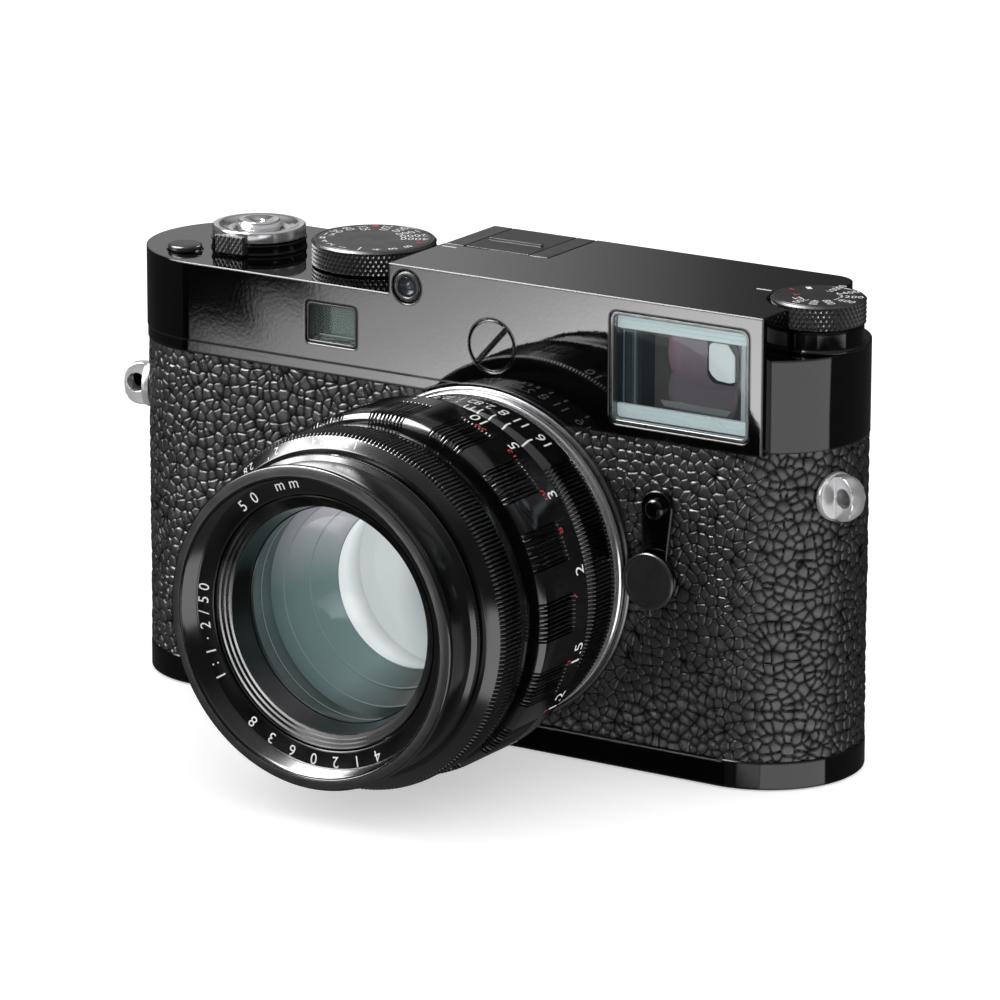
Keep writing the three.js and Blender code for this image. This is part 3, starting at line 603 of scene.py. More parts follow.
def base_plate():
    cap_low, cap_high = span("battery")
    socket, lever = middle("tripod_socket"), middle("battery_lever")
    operations = [
        ("DIFFERENCE", cuboid(cap_low[0] - FIT_GAP, cap_high[0] + FIT_GAP, cap_low[1] - FIT_GAP,
                              cap_high[1] + FIT_GAP, -1, 6)),
        ("DIFFERENCE", disc_prism(socket[0], socket[1], 5.1, -1, 6, 48, "z")),
        ("DIFFERENCE", disc_prism(lever[0], lever[1], 6, -1, 2.2, 64, "z")),
        ("DIFFERENCE", disc_prism(LENS_X, LENS_Z, 29.1, FRONT - 6, FRONT + 2, 128)),
    ]
    made = combined(outline_prism(body_plan(), 0, BASE_TOP), operations)
    finished(made, "base_cover", "black_paint", "camera_body", ["base_plate"], 0.3)


def around_body(distance):
    """Position and outward direction along the body's plan, starting at the front left corner."""
    x0, x1 = BODY_LOW[0] + END_RADIUS, BODY_HIGH[0] - END_RADIUS
    y0, y1 = BODY_LOW[1] + END_RADIUS, BODY_HIGH[1] - END_RADIUS
    straight, side, arc = x1 - x0, y1 - y0, END_RADIUS * math.pi / 2
    pieces = [
        (straight, (x0, y0), (1, 0), -90), (arc, (x1, y0), None, -90), (side, (x1, y0), (0, 1), 0),
        (arc, (x1, y1), None, 0), (straight, (x1, y1), (-1, 0), 90), (arc, (x0, y1), None, 90),
        (side, (x0, y1), (0, -1), 180), (arc, (x0, y0), None, 180),
    ]
    position, normal = np.zeros((len(distance), 2)), np.zeros((len(distance), 2))
    start = 0.0
    for length, corner, run, angle in pieces:
        here = (distance >= start) & (distance < start + length)
        along = distance[here] - start
        turn = np.radians(angle) + (along / END_RADIUS if run is None else 0 * along)
        out = np.stack([np.cos(turn), np.sin(turn)], -1)
        shift = 0 if run is None else along[:, None] * np.array(run)
        normal[here] = out
        position[here] = np.array(corner) + shift + END_RADIUS * out
        start += length
    return position, normal, start


def pebbles(a, b, period, size=1.72):
    """Height of a pebbled grain at (a, b): convex cells with narrow creases. It repeats along a."""
    columns = int(round(period / size))
    step = period / columns
    rows = int(b.max() / step) + 6
    jitter = RNG.uniform(-0.46, 0.46, (columns, rows, 2))
    swell = RNG.uniform(0.72, 1.0, (columns, rows))
    reach = RNG.uniform(0, 0.22, (columns, rows)) * step
    i, j = np.floor(a / step).astype(int), np.floor(b / step).astype(int) + 2
    near, second = np.full(a.shape, 1e9), np.full(a.shape, 1e9)
    size_here = np.ones(a.shape)
    for di in range(-2, 3):
        for dj in range(-2, 3):
            row = np.clip(j + dj, 0, rows - 1)
            column = (i + di) % columns
            x = (i + di + 0.5 + jitter[column, row, 0]) * step
            z = (j - 2 + dj + 0.5 + jitter[column, row, 1]) * step
            distance = np.hypot(a - x, b - z) - reach[column, row]
            closer = distance < near
            second = np.where(closer, near, np.minimum(second, distance))
            size_here = np.where(closer, swell[column, row], size_here)
            near = np.where(closer, distance, near)
    crease = ramp(second - near, 0.0, 0.38)
    return size_here * (1 - (1 - crease) ** 2) * (1 - 0.75 * (near / step + 0.1) ** 2)


GRAIN_PITCH = 0.17
UNDER_MOUNT, STEM_HOLE = 28, 3.2


def leather():
    """One sheet of relief round the body, left out where the mount, the panel and the stem are."""
    length = around_body(np.zeros(1))[2]
    low, high = BASE_TOP + 0.08, LEATHER_TOP_LEFT + 0.2
    columns, rows = int(length / GRAIN_PITCH), int((high - low) / GRAIN_PITCH)
    distance = np.linspace(0, length, columns, endpoint=False)
    position, normal, _ = around_body(distance)
    heights = np.linspace(low, high, rows)
    a, b = np.meshgrid(distance, heights - low, indexing="ij")
    grain = pebbles(a, b, length)
    grain += 0.06 * np.sin(a * 0.9 + 2 * np.sin(b * 0.6)) * np.sin(b * 0.8 + np.sin(a * 0.5))
    inset = 0.44 - 0.42 * grain
    plan = position[:, None, :] - inset[..., None] * normal[:, None, :]
    verts = np.concatenate([plan, np.broadcast_to(heights[None, :, None], (columns, rows, 1))],
                           -1).reshape(-1, 3)
    i, j = np.meshgrid(np.arange(columns), np.arange(rows - 1), indexing="ij")
    following = (i + 1) % columns
    quads = np.stack([i * rows + j, following * rows + j, following * rows + j + 1, i * rows + j + 1], -1)
    x, y, z = position[i, 0], position[i, 1], heights[j]
    panel_low, panel_high = span("rear_panel")
    under_ring = np.hypot(x - LENS_X, z - LENS_Z) < UNDER_MOUNT
    release = middle("lens_release_button")
    under_ring |= np.hypot(x - release[0], z - release[2]) < STEM_HOLE
    front = y < FRONT + 10
    behind = (y > panel_low[1]) & (x > panel_low[0] + 1) & (x < panel_high[0] - 1) & (z > 7.5) & (z < 55.5)
    step = (z > LEATHER_TOP_RIGHT + 0.15) & (x > LENS_X)
    keep = ~((under_ring & front) | behind | step)
    used, flat = np.unique(quads[keep].ravel(), return_inverse=True)
    made = mesh("leather_skin", (verts[used], flat.reshape(-1, 4).tolist()), "leather", "camera_body",
                ["leather_left", "leather_right"], smooth=80)
    made.data.shade_smooth()
    # Painted shade: the tint is dark in the creases between pebbles and light on their tops.
    shade = 0.06 + 1.1 * ramp(grain.ravel()[used], 0.1, 0.8)
    set_tint(made.data, np.repeat(shade, 4))


LUG_TURN, LUG_HEIGHT = math.radians(18), 49.4


def strap_lug(side, name):
    """A polished lug: a flange, a dome with flat faces front and back, and an eye through them."""
    centre = BODY_HIGH[0] - END_RADIUS
    depth = BODY_LOW[1] + END_RADIUS
    turn = -LUG_TURN if side > 0 else math.pi + LUG_TURN
    rotation = np.array([[math.cos(turn), -math.sin(turn), 0], [math.sin(turn), math.cos(turn), 0],
                         [0, 0, 1]])
    origin = np.array([side * centre, depth, LUG_HEIGHT])

    def placed(shape):
        return np.asarray(shape[0]) @ rotation.T + origin, shape[1]

    def along(a, b, height):
        return np.stack([END_RADIUS + height, a, b], -1)

    dome = [(0, -0.3), (4.1, -0.3), (4.1, 0.55), (3.85, 0.8), (3.85, 2.3), (3.6, 3.3), (3.0, 4.2), (2.0, 4.8),
            (0.9, 5.0), (0, 5.0)]
    dome_points, dome_faces = lathe(dome, 64, along, closed=False)
    front = -side
    far, near = sorted((1.0 * front, 9 * front)), sorted((-2.4 * front, -9 * front))
    eye = disc_prism(END_RADIUS + 2.8, 0.2, 1.65, -9, 9, 40)
    operations = [
        ("DIFFERENCE", placed(cuboid(END_RADIUS + 0.9, END_RADIUS + 9, far[0], far[1], -9, 9))),
        ("DIFFERENCE", placed(cuboid(END_RADIUS + 0.9, END_RADIUS + 9, near[0], near[1], -9, 9))),
        ("DIFFERENCE", placed(eye)),
    ]
    cap = [tuple(range(64))]
    made = combined(placed((dome_points, dome_faces + cap)), operations)
    finished(made, name + "_polished", "satin_silver", "camera_body", [name], 0.16)


# ---- Windows -----------------------------------------------------------------------------------------------
def window_frame(name, outer, wall, corner, depth, material="grey_metal"):
    x0, x1, z0, z1 = outer
    rim = outline_prism(rounded(x0, x1, z0, z1, corner, 8), FRONT + 0.12, FRONT + depth, "y")
    hole = outline_prism(rounded(x0 + wall, x1 - wall, z0 + wall, z1 - wall, corner * 0.7, 8), FRONT - 1,
                         FRONT + depth + 1, "y")
    made = combined(rim, [("DIFFERENCE", hole)])
    finished(made, name + "_rim", material, "camera_body", [name], 0.12)


def set_tint(data, colors):
    """Vertex colours for the materials that read them: four numbers for each point, end to end."""
    tint = data.color_attributes.new(name="tint", type="FLOAT_COLOR", domain="POINT")
    tint.data.foreach_set("color", colors)


def coloured(name, shapes, body, replaces=(), smooth=35):
    """One piece of several shapes, each with its own colour, or a colour for each of its points. The colours
    glow as painted light.
    """
    made = mesh(name, joined([shape for shape, _ in shapes]), "coated", body, replaces, smooth)
    colours = [np.broadcast_to(np.array(colour, float), (len(shape[0]), 3)) for shape, colour in shapes]
    full = np.column_stack([np.concatenate(colours), np.ones(sum(len(c) for c in colours))])
    set_tint(made.data, full.ravel())
    return made


TUNNEL = (58.6, 79)
RANGE_ROOM = (63.2, 73.4)


def viewfinder():
    window_frame("viewfinder_frame", (32.05, 58.35, 59.35, 78.15), 0.55, 1.35, 2.6)
    pane = outline_prism(rounded(32.7, 57.7, 60, 77.5, 0.9, 8), FRONT + 0.5, FRONT + 0.9, "y")
    mesh("viewfinder_pane", pane, "glass", "camera_body", ["viewfinder_glass"], smooth=20, recalc=True)
    for name, z in (("frosted_strip_top", 75.15), ("frosted_strip_bottom", 60.05)):
        strip = joined([cuboid(31.4, 57.75, FRONT + 1.6, FRONT + 2.4, z + 0.78 * k,
                               z + 0.78 * (k + 1) - 0.04) for k in range(3)])
        bevel(mesh(name + "_ribbed", strip, "frosted", "camera_body", [name], recalc=True), 0.08, 2)
    viewfinder_interior()


def viewfinder_interior():
    """What shows inside the window: prism faces, the coated lens, the frame mask and its mirror, all in
    glowing colours that are painted light and reflection.
    """
    y = FRONT
    cell = [(31.2, 0.035), (32.5, 0.10), (33.5, 0.15), (34.6, 0.22), (35.3, 0.09)]
    shapes = []
    x = 28.0
    for edge, level in cell:
        colour = (level * 0.15, level * 0.19, level * 0.22)
        shapes.append((cuboid(x, edge, y + 4 + 0.2 * len(shapes), y + 9, *TUNNEL), colour))
        x = edge
    shapes.append((cuboid(35.3, 53.4, y + 9, y + 9.6, *TUNNEL), (0.055, 0.05, 0.05)))
    shapes.append((cuboid(35.3, 59.5, y + 3, y + 9, 58.4, 58.7), (0.03, 0.028, 0.028)))
    shapes.append((cuboid(54.7, 55.5, y + 4, y + 5, 58.7, 79), (0.26, 0.27, 0.28)))
    shapes.append((cuboid(55.8, 59.5, y + 3.8, y + 5, 58.7, 79), (0.02, 0.03, 0.05)))
    rest = outline_prism([(38.2, 62.6), (39.0, 61.7), (50.7, 61.5), (51.7, 62.5)], y + 6, y + 6.5, "y")
    shapes.append((rest, (0.13, 0.13, 0.13)))
    dome = lens_dome(46.9, 70.6, 8.2, 1.5, y + 7.6)
    points = dome[0]
    # Painted reflection: the lens dome grows lighter towards its top and on its left side.
    level = ramp(points[:, 2], 63, 75)[:, None]
    tone = (1 - level) * np.array([0.055, 0.045, 0.05]) + level * np.array([0.17, 0.13, 0.15])
    tone = np.where(points[:, :1] < 42.2, tone * np.array([1.25, 1.05, 1.1]), tone)
    shapes.append((dome, tone))
    inner = lens_dome(45.8, 64.6, 6.6, 0.5, y + 6.9)
    shapes.append((inner, (0.085, 0.068, 0.08)))
    mask = rounded(47.2, 53.1, 66.9, 74.2, (1.4, 1.8, 0.5, 2.0), 6)
    shapes.append((outline_prism(mask, y + 5.8, y + 6.3, "y"), (0.02, 0.02, 0.022)))
    # Painted light: a pale glowing patch for the bright view through the frame mask.
    patch = [(47.7, 73.2), (48.3, 73.8), (51.1, 73.8), (52.5, 72.0), (52.5, 67.7), (51.6, 67.4), (49.3, 67.6),
             (48.3, 68.3), (47.7, 69.2)]
    shapes.append((outline_prism(patch[::-1], y + 5.5, y + 5.8, "y"), (0.5, 0.5, 0.51)))
    # Painted highlights: thin light strips along the prism edges.
    for x, level in ((31.15, 0.12), (32.45, 0.09), (34.6, 0.1)):
        shapes.append((cuboid(x, x + 0.12, y + 3.6, y + 3.9, *TUNNEL), (level, level * 1.1, level * 1.15)))
    coloured("viewfinder_optics", shapes, "camera_body", ["viewfinder_objective", "viewfinder_housing"])


def lens_dome(x, z, radius, height, y):
    profile = [(radius * math.sin(t), height * math.cos(t)) for t in np.linspace(math.pi / 2, 0, 9)]
    place = lambda a, b, h: np.stack([x + a, y - h, z + b], -1)
    return lathe(profile, 72, place, closed=False)


def rangefinder():
    window_frame("rangefinder_frame", (-27.95, -17.85, 64.85, 71.85), 0.4, 0.8, 2.4, "satin_black")
    pane = outline_prism(rounded(-27.4, -18.4, 65.4, 71.3, 0.5, 6), FRONT + 0.35, FRONT + 0.7, "y")
    mesh("rangefinder_pane", pane, "glass", "camera_body", ["rangefinder_glass"], smooth=20, recalc=True)
    y = FRONT
    # Painted light: glowing bands and a light line along the bottom stand for the lit view and reflections in
    # the window.
    bands = [(-31, -26.9, 0.05), (-26.9, -25.4, 0.075), (-25.4, -22, 0.1)]
    shapes = [(cuboid(a, b, y + 3.8, y + 4.4, *RANGE_ROOM), (c * 0.55, c * 0.68, c * 0.62)) for a, b,
              c in bands]
    shapes.append((cuboid(-24.6, -15.5, y + 2.6, y + 3.4, *RANGE_ROOM), (0.075, 0.092, 0.08)))
    shapes.append((cuboid(-26.4, -15.5, y + 2, y + 2.5, 63.2, 65.9), (0.028, 0.036, 0.032)))
    shapes.append((cuboid(-26.4, -15.5, y + 1.8, y + 2.2, 65.9, 66.05), (0.17, 0.19, 0.18)))
    coloured("rangefinder_optics", shapes, "camera_body", ["rangefinder_block"])


def sensor_window():
    x, _, z = middle("sensor_ring")
    place = forward_at(x, z)
    ring = softened([(1.75, -1.2), (2.66, -1.2), (2.66, -0.15), (2.3, 0.05), (1.9, 0.02), (1.75, -0.2)], 0.1)
    mesh("sensor_bezel", lathe(ring, 64, place), "satin_black", "camera_body", ["sensor_ring"])
    cup = lathe([(1.75, -0.5), (1.3, -0.95), (0.7, -1.15), (0, -1.15)], 48, place, closed=False)
    bead = lathe([(0.8, -1.1), (0.62, -0.75), (0.3, -0.58), (0, -0.54)], 32, place, closed=False)
    coloured("sensor_optics", [(cup, (0.02, 0.02, 0.025)), (bead, (0.05, 0.05, 0.055))], "camera_body")
    dome = lathe([(1.7, -0.4), (1.2, -0.22), (0.6, -0.12), (0, -0.1)], 48, place, closed=False)
    mesh("sensor_dome", dome, "glass", "camera_body", ["sensor_lens"])


def slotted_cover():
    x, _, z = middle("slotted_cover")
    disc = disc_prism(x, z, 4.42, FRONT - 0.02, FRONT + 0.8, 96)
    tilt = math.radians(48)
    points, faces = cuboid(-6, 6, FRONT - 1, FRONT + 0.25, -0.18, 0.18)
    a, b = points[:, 0].copy(), points[:, 2].copy()
    points[:, 0] = x + a * math.cos(tilt) - b * math.sin(tilt)
    points[:, 2] = z + a * math.sin(tilt) + b * math.cos(tilt)
    made = combined(disc, [("DIFFERENCE", (points, faces))])
    finished(made, "slotted_disc", "black_paint", "camera_body", ["slotted_cover"], 0.2)


# ---- Controls on the top -----------------------------------------------------------------------------------
KNURL_ROW, KNURL_ROWS = 0.75, 5


def dial(name, count, top_rim, texts, inward, start, marks):
    """A knurled dial, named like its node and its body, with its figures and marks."""
    low, high = span(name)
    x, y, _ = middle(name)
    radius = (high[0] - low[0]) / 2
    top = high[2]
    bottom = top - KNURL_ROWS * KNURL_ROW - top_rim
    place = upward_at(x, y)
    under = [(0, bottom - 0.25), (radius - 0.7, bottom - 0.25), (radius - 0.1, bottom)]
    side = [(radius, h) for h in np.linspace(bottom + 0.02, top - top_rim, KNURL_ROWS * 8 + 1)]
    over = [(radius - 0.05, top - top_rim + 0.03), (radius - 0.35, top - 0.02), (radius - 0.75, top),
            (radius - 0.8, top - 0.08), (radius - 0.92, top - 0.08), (radius - 0.97, top - 0.01),
            (0, top - 0.01)]
    relief = knurl(count, 0.4, KNURL_ROW, bottom + 0.01, top - top_rim + 0.001)
    body_shape = lathe(under + side + over, count * 8, place, relief, closed=False)
    mesh(name + "_knurled", body_shape, "satin_black", name, [name])
    white, red = [], []
    for text, angle, size, colour in texts:
        drawing = glyphs(text, size, "LEFT")
        shape = on_dial(drawing, angle, (x, y), start, top, inward)
        (red if colour == "red" else white).append(shape)
    for angle, r, width, height, colour in marks:
        shape = on_dial(bar(width, height), angle, (x, y), r, top, inward)
        (red if colour == "red" else white).append(shape)
    mesh(name + "_figures", joined(white), "white", name)
    mesh(name + "_red_figures", joined(red), "red", name)


def shutter_dial():
    figures = [("A", 6.6), ("B", -15.7), ("8", -35.5), ("4", -54.3),
               ("1", -94), ("2", -113.8), ("4", -131.6), ("8", -148.5),
               ("15", -166.7), ("30", 175.5), ("60", 155.8), ("125", 137),
               ("250", 108), ("500", 87), ("1000", 66), ("2000", 45), ("4000", 25.8)]
    texts = [(text, angle, 2.35, "red" if text == "A" else "white") for text, angle in figures]
    marks = [(-73.7, 8.3, 2.0, 0.28, "white"), (122, 8.8, 1.4, 0.9, "red")]
    dial("shutter_dial", 73, 0.4, texts, True, 9.35, marks)
    x, y, _ = middle("shutter_dial")
    foot = softened([(0, 75.42), (9.4, 75.42), (9.4, 75.62), (9.1, 75.72), (0, 75.72)], 0.08)
    mesh("shutter_dial_foot", lathe(foot, 96, upward_at(x, y), closed=False), "black_paint", "shutter_dial")


def iso_dial():
    figures = [("A", -159.5), ("M", -125), ("200", -100), ("400", -70),
               ("800", -40), ("1600", -8), ("3200", 24), ("6400", 56),
               ("10000", 90)]
    texts = [(text, angle, 2.05, "red" if text == "A" else "white") for text, angle in figures]
    marks = [(136.5, 5.6, 1.6, 0.9, "white"), (165, 6.2, 0.9, 0.5, "red")]
    dial("iso_dial", 54, 0.35, texts, False, 3.1, marks)
    x, y, _ = middle("iso_dial")
    neck = [(3.2, 73.1), (7.9, 73.1), (7.9, 73.5), (7.55, 73.75), (7.55, 76.6), (7.3, 76.9), (3.2, 76.9)]
    mesh("iso_collar", lathe(softened(neck, 0.12), 128, upward_at(x, y)), "black_paint", "camera_body",
         ["iso_neck"])


def power_switch():
    x, y, _ = middle("shutter_button")
    place = upward_at(x, y)
    wall = [(3.9, 75.45), (8.3, 75.45), (8.3, 75.7), (8.12, 75.8), (8.12, 76.9), (8.25, 77.0), (8.25, 77.3),
            (3.9, 77.3)]
    drum = lathe(softened(wall, 0.06), 160, place)
    mesh("power_drum", drum, "black_paint", "power_collar", ["power_collar"])
    knurled_tab(x, y)
    cap = [(4.4, 77.6), (8.05, 77.6), (8.05, 79.3), (7.85, 79.5), (7.3, 79.5), (6.9, 79.42), (6.1, 79.05),
           (5.3, 78.8), (4.4, 78.7)]
    mesh("collar_ring", lathe(softened(cap, 0.1), 160, place), "bright_metal", "power_collar", ["collar_cap"])
    button = [(0, 70.5), (2.6, 70.5), (2.6, 77.4), (3.67, 77.4), (3.67, 80.05), (3.5, 80.28), (2.8, 80.3),
              (1.9, 80.1),
              (1.15, 79.9), (0.95, 79.4), (0.9, 78.8), (0, 78.7)]
    soft = softened(button, 0.1, closed=False)
    mesh("release_button", lathe(soft, 96, place, closed=False), "bright_metal", "shutter_button",
         ["shutter_button"])
    thread = [(0.94 - 0.1 * (k % 2), 78.85 + 0.12 * k) for k in range(7)]
    inner = lathe(thread[::-1] + [(0.6, 78.82), (0, 78.82)], 48, place, closed=False)
    mesh("release_thread", inner, "steel", "shutter_button")


def knurled_tab(x, y):
    """The thumb tab on the power switch: a small block whose straight front is diamond knurled."""
    wide, low, high, front = 2.9, 75.75, 79.0, y - 9.42
    us, vs = np.linspace(-wide, wide, 113), np.linspace(low, high, 57)
    u, v = np.meshgrid(us, vs, indexing="ij")
    tips = np.minimum(wave(u / 0.9 + v / 1.3), wave(u / 0.9 - v / 1.3))
    edge = np.minimum(np.minimum(ramp(u, -wide, -wide + 0.25), ramp(-u, -wide, -wide + 0.25)),
                      np.minimum(ramp(v, low, low + 0.2), ramp(-v, -high, -high + 0.2)))
    depth = front + 0.3 * (1 - tips) + 0.25 * (1 - edge)
    points = np.stack([x + u, depth, v], -1).reshape(-1, 3)
    mesh("tab_knurling", (points, grid_quads(len(us), len(vs)).tolist()), "satin_black", "power_collar",
         smooth=60)
    arm = cuboid(x - wide + 0.02, x + wide - 0.02, front + 0.5, y - 6.2, low + 0.02, 77.3)
    lip = cuboid(x - wide + 0.02, x + wide - 0.02, front + 0.5, y - 8.3, 77.0, high - 0.02)
    made = combined(arm, [("UNION", lip)])
    finished(made, "tab_block", "satin_black", "power_collar", width=0.12)


def function_button():
    x, y, _ = middle("function_button")
    profile = [(0, 72), (1.6, 72), (1.6, 75.6), (2.95, 75.6), (2.95, 76.2), (2.7, 76.45), (1.5, 76.5),
               (0, 76.5)]
    shape = lathe(softened(profile, 0.12, closed=False), 64, upward_at(x, y), closed=False)
    mesh("function_cap", shape, "satin_black", "function_button", ["function_button"])


def hot_shoe():
    low, high = span("hot_shoe")
    x0, x1, y0, y1 = low[0], high[0], low[1], high[1]
    top = COVER_TOP
    outline = [(x0, 78.3), (x1, 78.3), (x1, top), (x1 - 3.6, top), (x1 - 3.6, top - 0.7),
               (x1 - 0.8, top - 0.7),
               (x1 - 0.8, 78.8), (x0 + 0.8, 78.8), (x0 + 0.8, top - 0.7), (x0 + 3.6, top - 0.7),
               (x0 + 3.6, top), (x0, top)]
    rails = combined(outline_prism(outline, y0, y1, "y"), [])
    finished(rails, "shoe_rails", "satin_black", "camera_body", ["hot_shoe"], 0.1)
    cover_front = span("shoe_cover")[0][1]
    plate = cuboid(x0 + 1.1, x1 - 1.1, cover_front, y1, 79.1, 79.6)
    cover = combined(plate, [
        ("UNION", cuboid(x0 + 3.85, x1 - 3.85, cover_front, y1, 79.2, top)),
        ("UNION", cuboid(x0 + 4.9, x1 - 4.9, y1 - 9.6, y1 - 8.9, top - 0.2, top + 0.45)),
    ])
    finished(cover, "shoe_cover_plate", "plastic", "shoe_cover", ["shoe_cover"], 0.1)
    for name, x, y in (("index_left", -9.1, FRONT + 15.3), ("index_right", 50.9, FRONT + 17.6)):
        line = cuboid(x - 1.4, x + 1.4, y - 0.2, y + 0.2, top - 0.02, top + 0.03)
        mesh(name, line, "white", "camera_body", recalc=True)


# ---- Controls on the front ---------------------------------------------------------------------------------
LEVER_KNOB = (41.4, 46.0)


def front_controls():
    x, z = middle("lens_release_button")[[0, 2]]
    place = forward_at(x, z)
    cap = [(0, -4), (2.5, -4), (2.5, 1.6), (4.6, 1.6), (4.85, 1.7), (4.85, 1.95), (4.6, 2.22), (4.15, 2.25),
           (3.9, 2.14), (0, 2.1)]
    shape = lathe(softened(cap, 0.1, closed=False), 128, place, closed=False)
    mesh("release_cap", shape, "satin_black", "lens_release_button", ["lens_release_button"])
    arm = lever_outline(x, z)
    plate = combined(outline_prism(arm, FRONT - 0.33, FRONT + 0.25, "y"),
                     [("DIFFERENCE", disc_prism(x, z, 2.9, FRONT - 2, FRONT + 2, 32))])
    finished(plate, "lever_arm", "black_paint", "frame_lever", ["frame_lever"], 0.18)
    knob = [(0, 0.2), (1.75, 0.2), (1.75, 1.1), (1.5, 1.42), (0.9, 1.55), (0, 1.6)]
    shape = lathe(softened(knob, 0.15, closed=False), 64, forward_at(*LEVER_KNOB), closed=False)
    mesh("lever_knob", shape, "black_paint", "frame_lever")


def lever_outline(x, z):
    boss, tip = 4.2, 3.0
    kx, kz = LEVER_KNOB
    lower = [(x + boss * math.cos(t), z + boss * math.sin(t)) for t in np.linspace(2.1, 2 * math.pi + 0.95,
                                                                                   60)]
    upper = [(kx + tip * math.cos(t), kz + tip * math.sin(t)) for t in np.linspace(0, math.pi, 32)]
    return lower + upper


# ---- Lens --------------------------------------------------------------------------------------------------
RIDGE_GROUP, RIDGE_HALF, RIDGES = 22.5, 6.2, 9
FOCUS_TEETH, CHROME_TEETH, SCALE_FLUTES, STOP_FLUTES, FRONT_TEETH = 300, 374, 243, 250, 300
NAME_RADIUS, NAME_SIZE = 23.15, 2.6
FOCUS_PROFILE = [(30.7, 16.1), (30.7, 20.2), (30.7, 28.7), (29.8, 29.6)]
SCALE_PROFILE = [(28.2, 3.8), (28.2, 9.4), (28.1, 9.7), (27.1, 11.2)]
STOP_PROFILE = [(29.45, 40.95), (29.3, 41.05), (27.75, 42.2)]


def ring(name, profile, sides, material, body, replaces=(), relief=None, soften=0.12, slot=None, smooth=35):
    shape = lathe(softened(profile, soften) if soften else profile, sides, lens_place, relief)
    return mesh(name, shape, material, body, replaces, smooth)


def lens_mount():
    flange = [(22.1, -1.3), (28.83, -1.3), (28.83, 0.05), (28.5, 0.3), (22.1, 0.3)]
    ring("mount_flange", flange, 256, "grey_metal", "camera_body", ["mount_ring"])
    chrome = [(19.8, -5.5), (21.7, -5.5), (21.7, 0.6), (28.0, 0.6), (28.15, 0.8), (28.15, 1.7), (27.85, 1.85),
              (27.85, 2.05), (28.1, 2.2), (28.1, 3.3), (24.6, 3.3), (24.6, 2), (19.8, 2)]
    teeth = flutes(CHROME_TEETH, 0.28, 2.7, 3.4)
    points = softened(chrome, 0.08)
    ring("chrome_ring", points, 4 * CHROME_TEETH, "bright_metal", "camera_body", ["lens_base_ring"], teeth,
         soften=0)


def scale_ring():
    """The fixed ring with the depth of field scale: smooth at the top, fluted round the rest."""
    profile = [(24.6, 3.6), (27.9, 3.6), (28.2, 3.8), (28.2, 4.2), (28.2, 9.4), (28.1, 9.7), (27.1, 11.2),
               (26.2, 11.4), (26.2, 20), (24.6, 20)]
    smooth_top = lambda theta: 1.0 - (np.abs(np.angle(np.exp(1j * (theta - np.pi / 2)))) < math.radians(43))
    relief = flutes(SCALE_FLUTES, 0.42, 4.0, 10.6, 0.25, smooth_top)
    ring("depth_scale_ring", profile, 8 * SCALE_FLUTES, "lens_black", "camera_body", ["fixed_scale_ring"],
         relief, 0.1, smooth=50)
    shapes = []
    for text, angle in (("16", 55.8), ("11", 66.2), ("8", 73.6), ("2.8", 81.4), ("2", 86.4), ("1.2", 92.5),
                        ("2.8", 98.8), ("8", 106.4), ("11", 113.8), ("16", 124.2)):
        size = 3.3 if text in ("16", "11", "8") else 2.9
        shapes.append(on_lens(glyphs(text, size), angle, SCALE_PROFILE, 6.2))
    for angle in (58.2, 67.8, 74.0, 79.1, 82.2, 85.0, 95.0, 97.8, 100.9, 106.0, 112.2, 121.8):
        shapes.append(on_lens(bar(0.34, 2.7, 24), angle, SCALE_PROFILE, 9.65))
    wedge = (np.array([[-0.8, 1.2], [0, -0.9], [0.8, 1.2]]), [(0, 1, 2)])
    shapes.append(on_lens(wedge, 90, SCALE_PROFILE, 8.4))
    mesh("depth_scale_figures", joined(shapes), "white", "camera_body")


def focus_relief(theta, height, radius):
    degrees = np.degrees(theta)
    offset = (degrees + RIDGE_GROUP / 2) % RIDGE_GROUP - RIDGE_GROUP / 2
    pitch = 2 * RIDGE_HALF / RIDGES
    grooves = ramp(1 - wave((offset + RIDGE_HALF) / pitch), 0.38, 0.72)
    grooves = grooves * (np.abs(offset) < RIDGE_HALF)
    along = ramp(height, 20.1, 20.6) * (radius > 29.7)
    rear_teeth = (height > 15.5) & (height < 16.15) & (radius > 30)
    fine = 1 - wave(theta * FOCUS_TEETH / (2 * np.pi))
    return -0.6 * grooves * along * (height > 20.1) - 0.22 * fine * rear_teeth


def focus_ring():
    profile = [(26.6, 15.6), (30.25, 15.6), (30.45, 15.75), (30.7, 16.25), (30.7, 16.5), (30.7, 20.1),
               (30.7, 20.35), (30.7, 20.6),
               (30.7, 24.5), (30.7, 28.5), (30.62, 28.75), (30.4, 29.0), (29.95, 29.5), (29.7, 29.6),
               (26.6, 29.6)]
    ring("focus_ring_ridged", profile, 2160, "lens_black", "focus_ring", ["focus_ring"], focus_relief, 0,
         smooth=45)
    white, red = [], []
    for text, angle in (("10", 69.6), ("5", 55.8), ("3", 36.5), ("2", 11.9), ("1.5", -15.0), ("1.2", -33),
                        ("1", -55)):
        white.append(on_lens(glyphs(text, 3.4), angle, FOCUS_PROFILE, 17.9))
    for text, angle in (("30", 66.5), ("15", 53.4), ("10", 37.0), ("8", 25.4), ("7", 4.6), ("5", -17),
                        ("4", -36)):
        red.append(on_lens(clipped(glyphs(text, 2.2), 0.1), angle, FOCUS_PROFILE, 20.2))
    white.append(on_lens(bar(0.3, 1.1), 93.5, FOCUS_PROFILE, 17.8))
    mesh("focus_figures", joined(white), "white", "focus_ring")
    mesh("focus_red_figures", joined(red), "red", "focus_ring")


def clipped(drawing, top):
    """Squares a drawing off at a height, as where figures run out under the ridges."""
    points, faces = drawing
    points = points.copy()
    points[:, 1] = np.minimum(points[:, 1], top)
    return points, faces


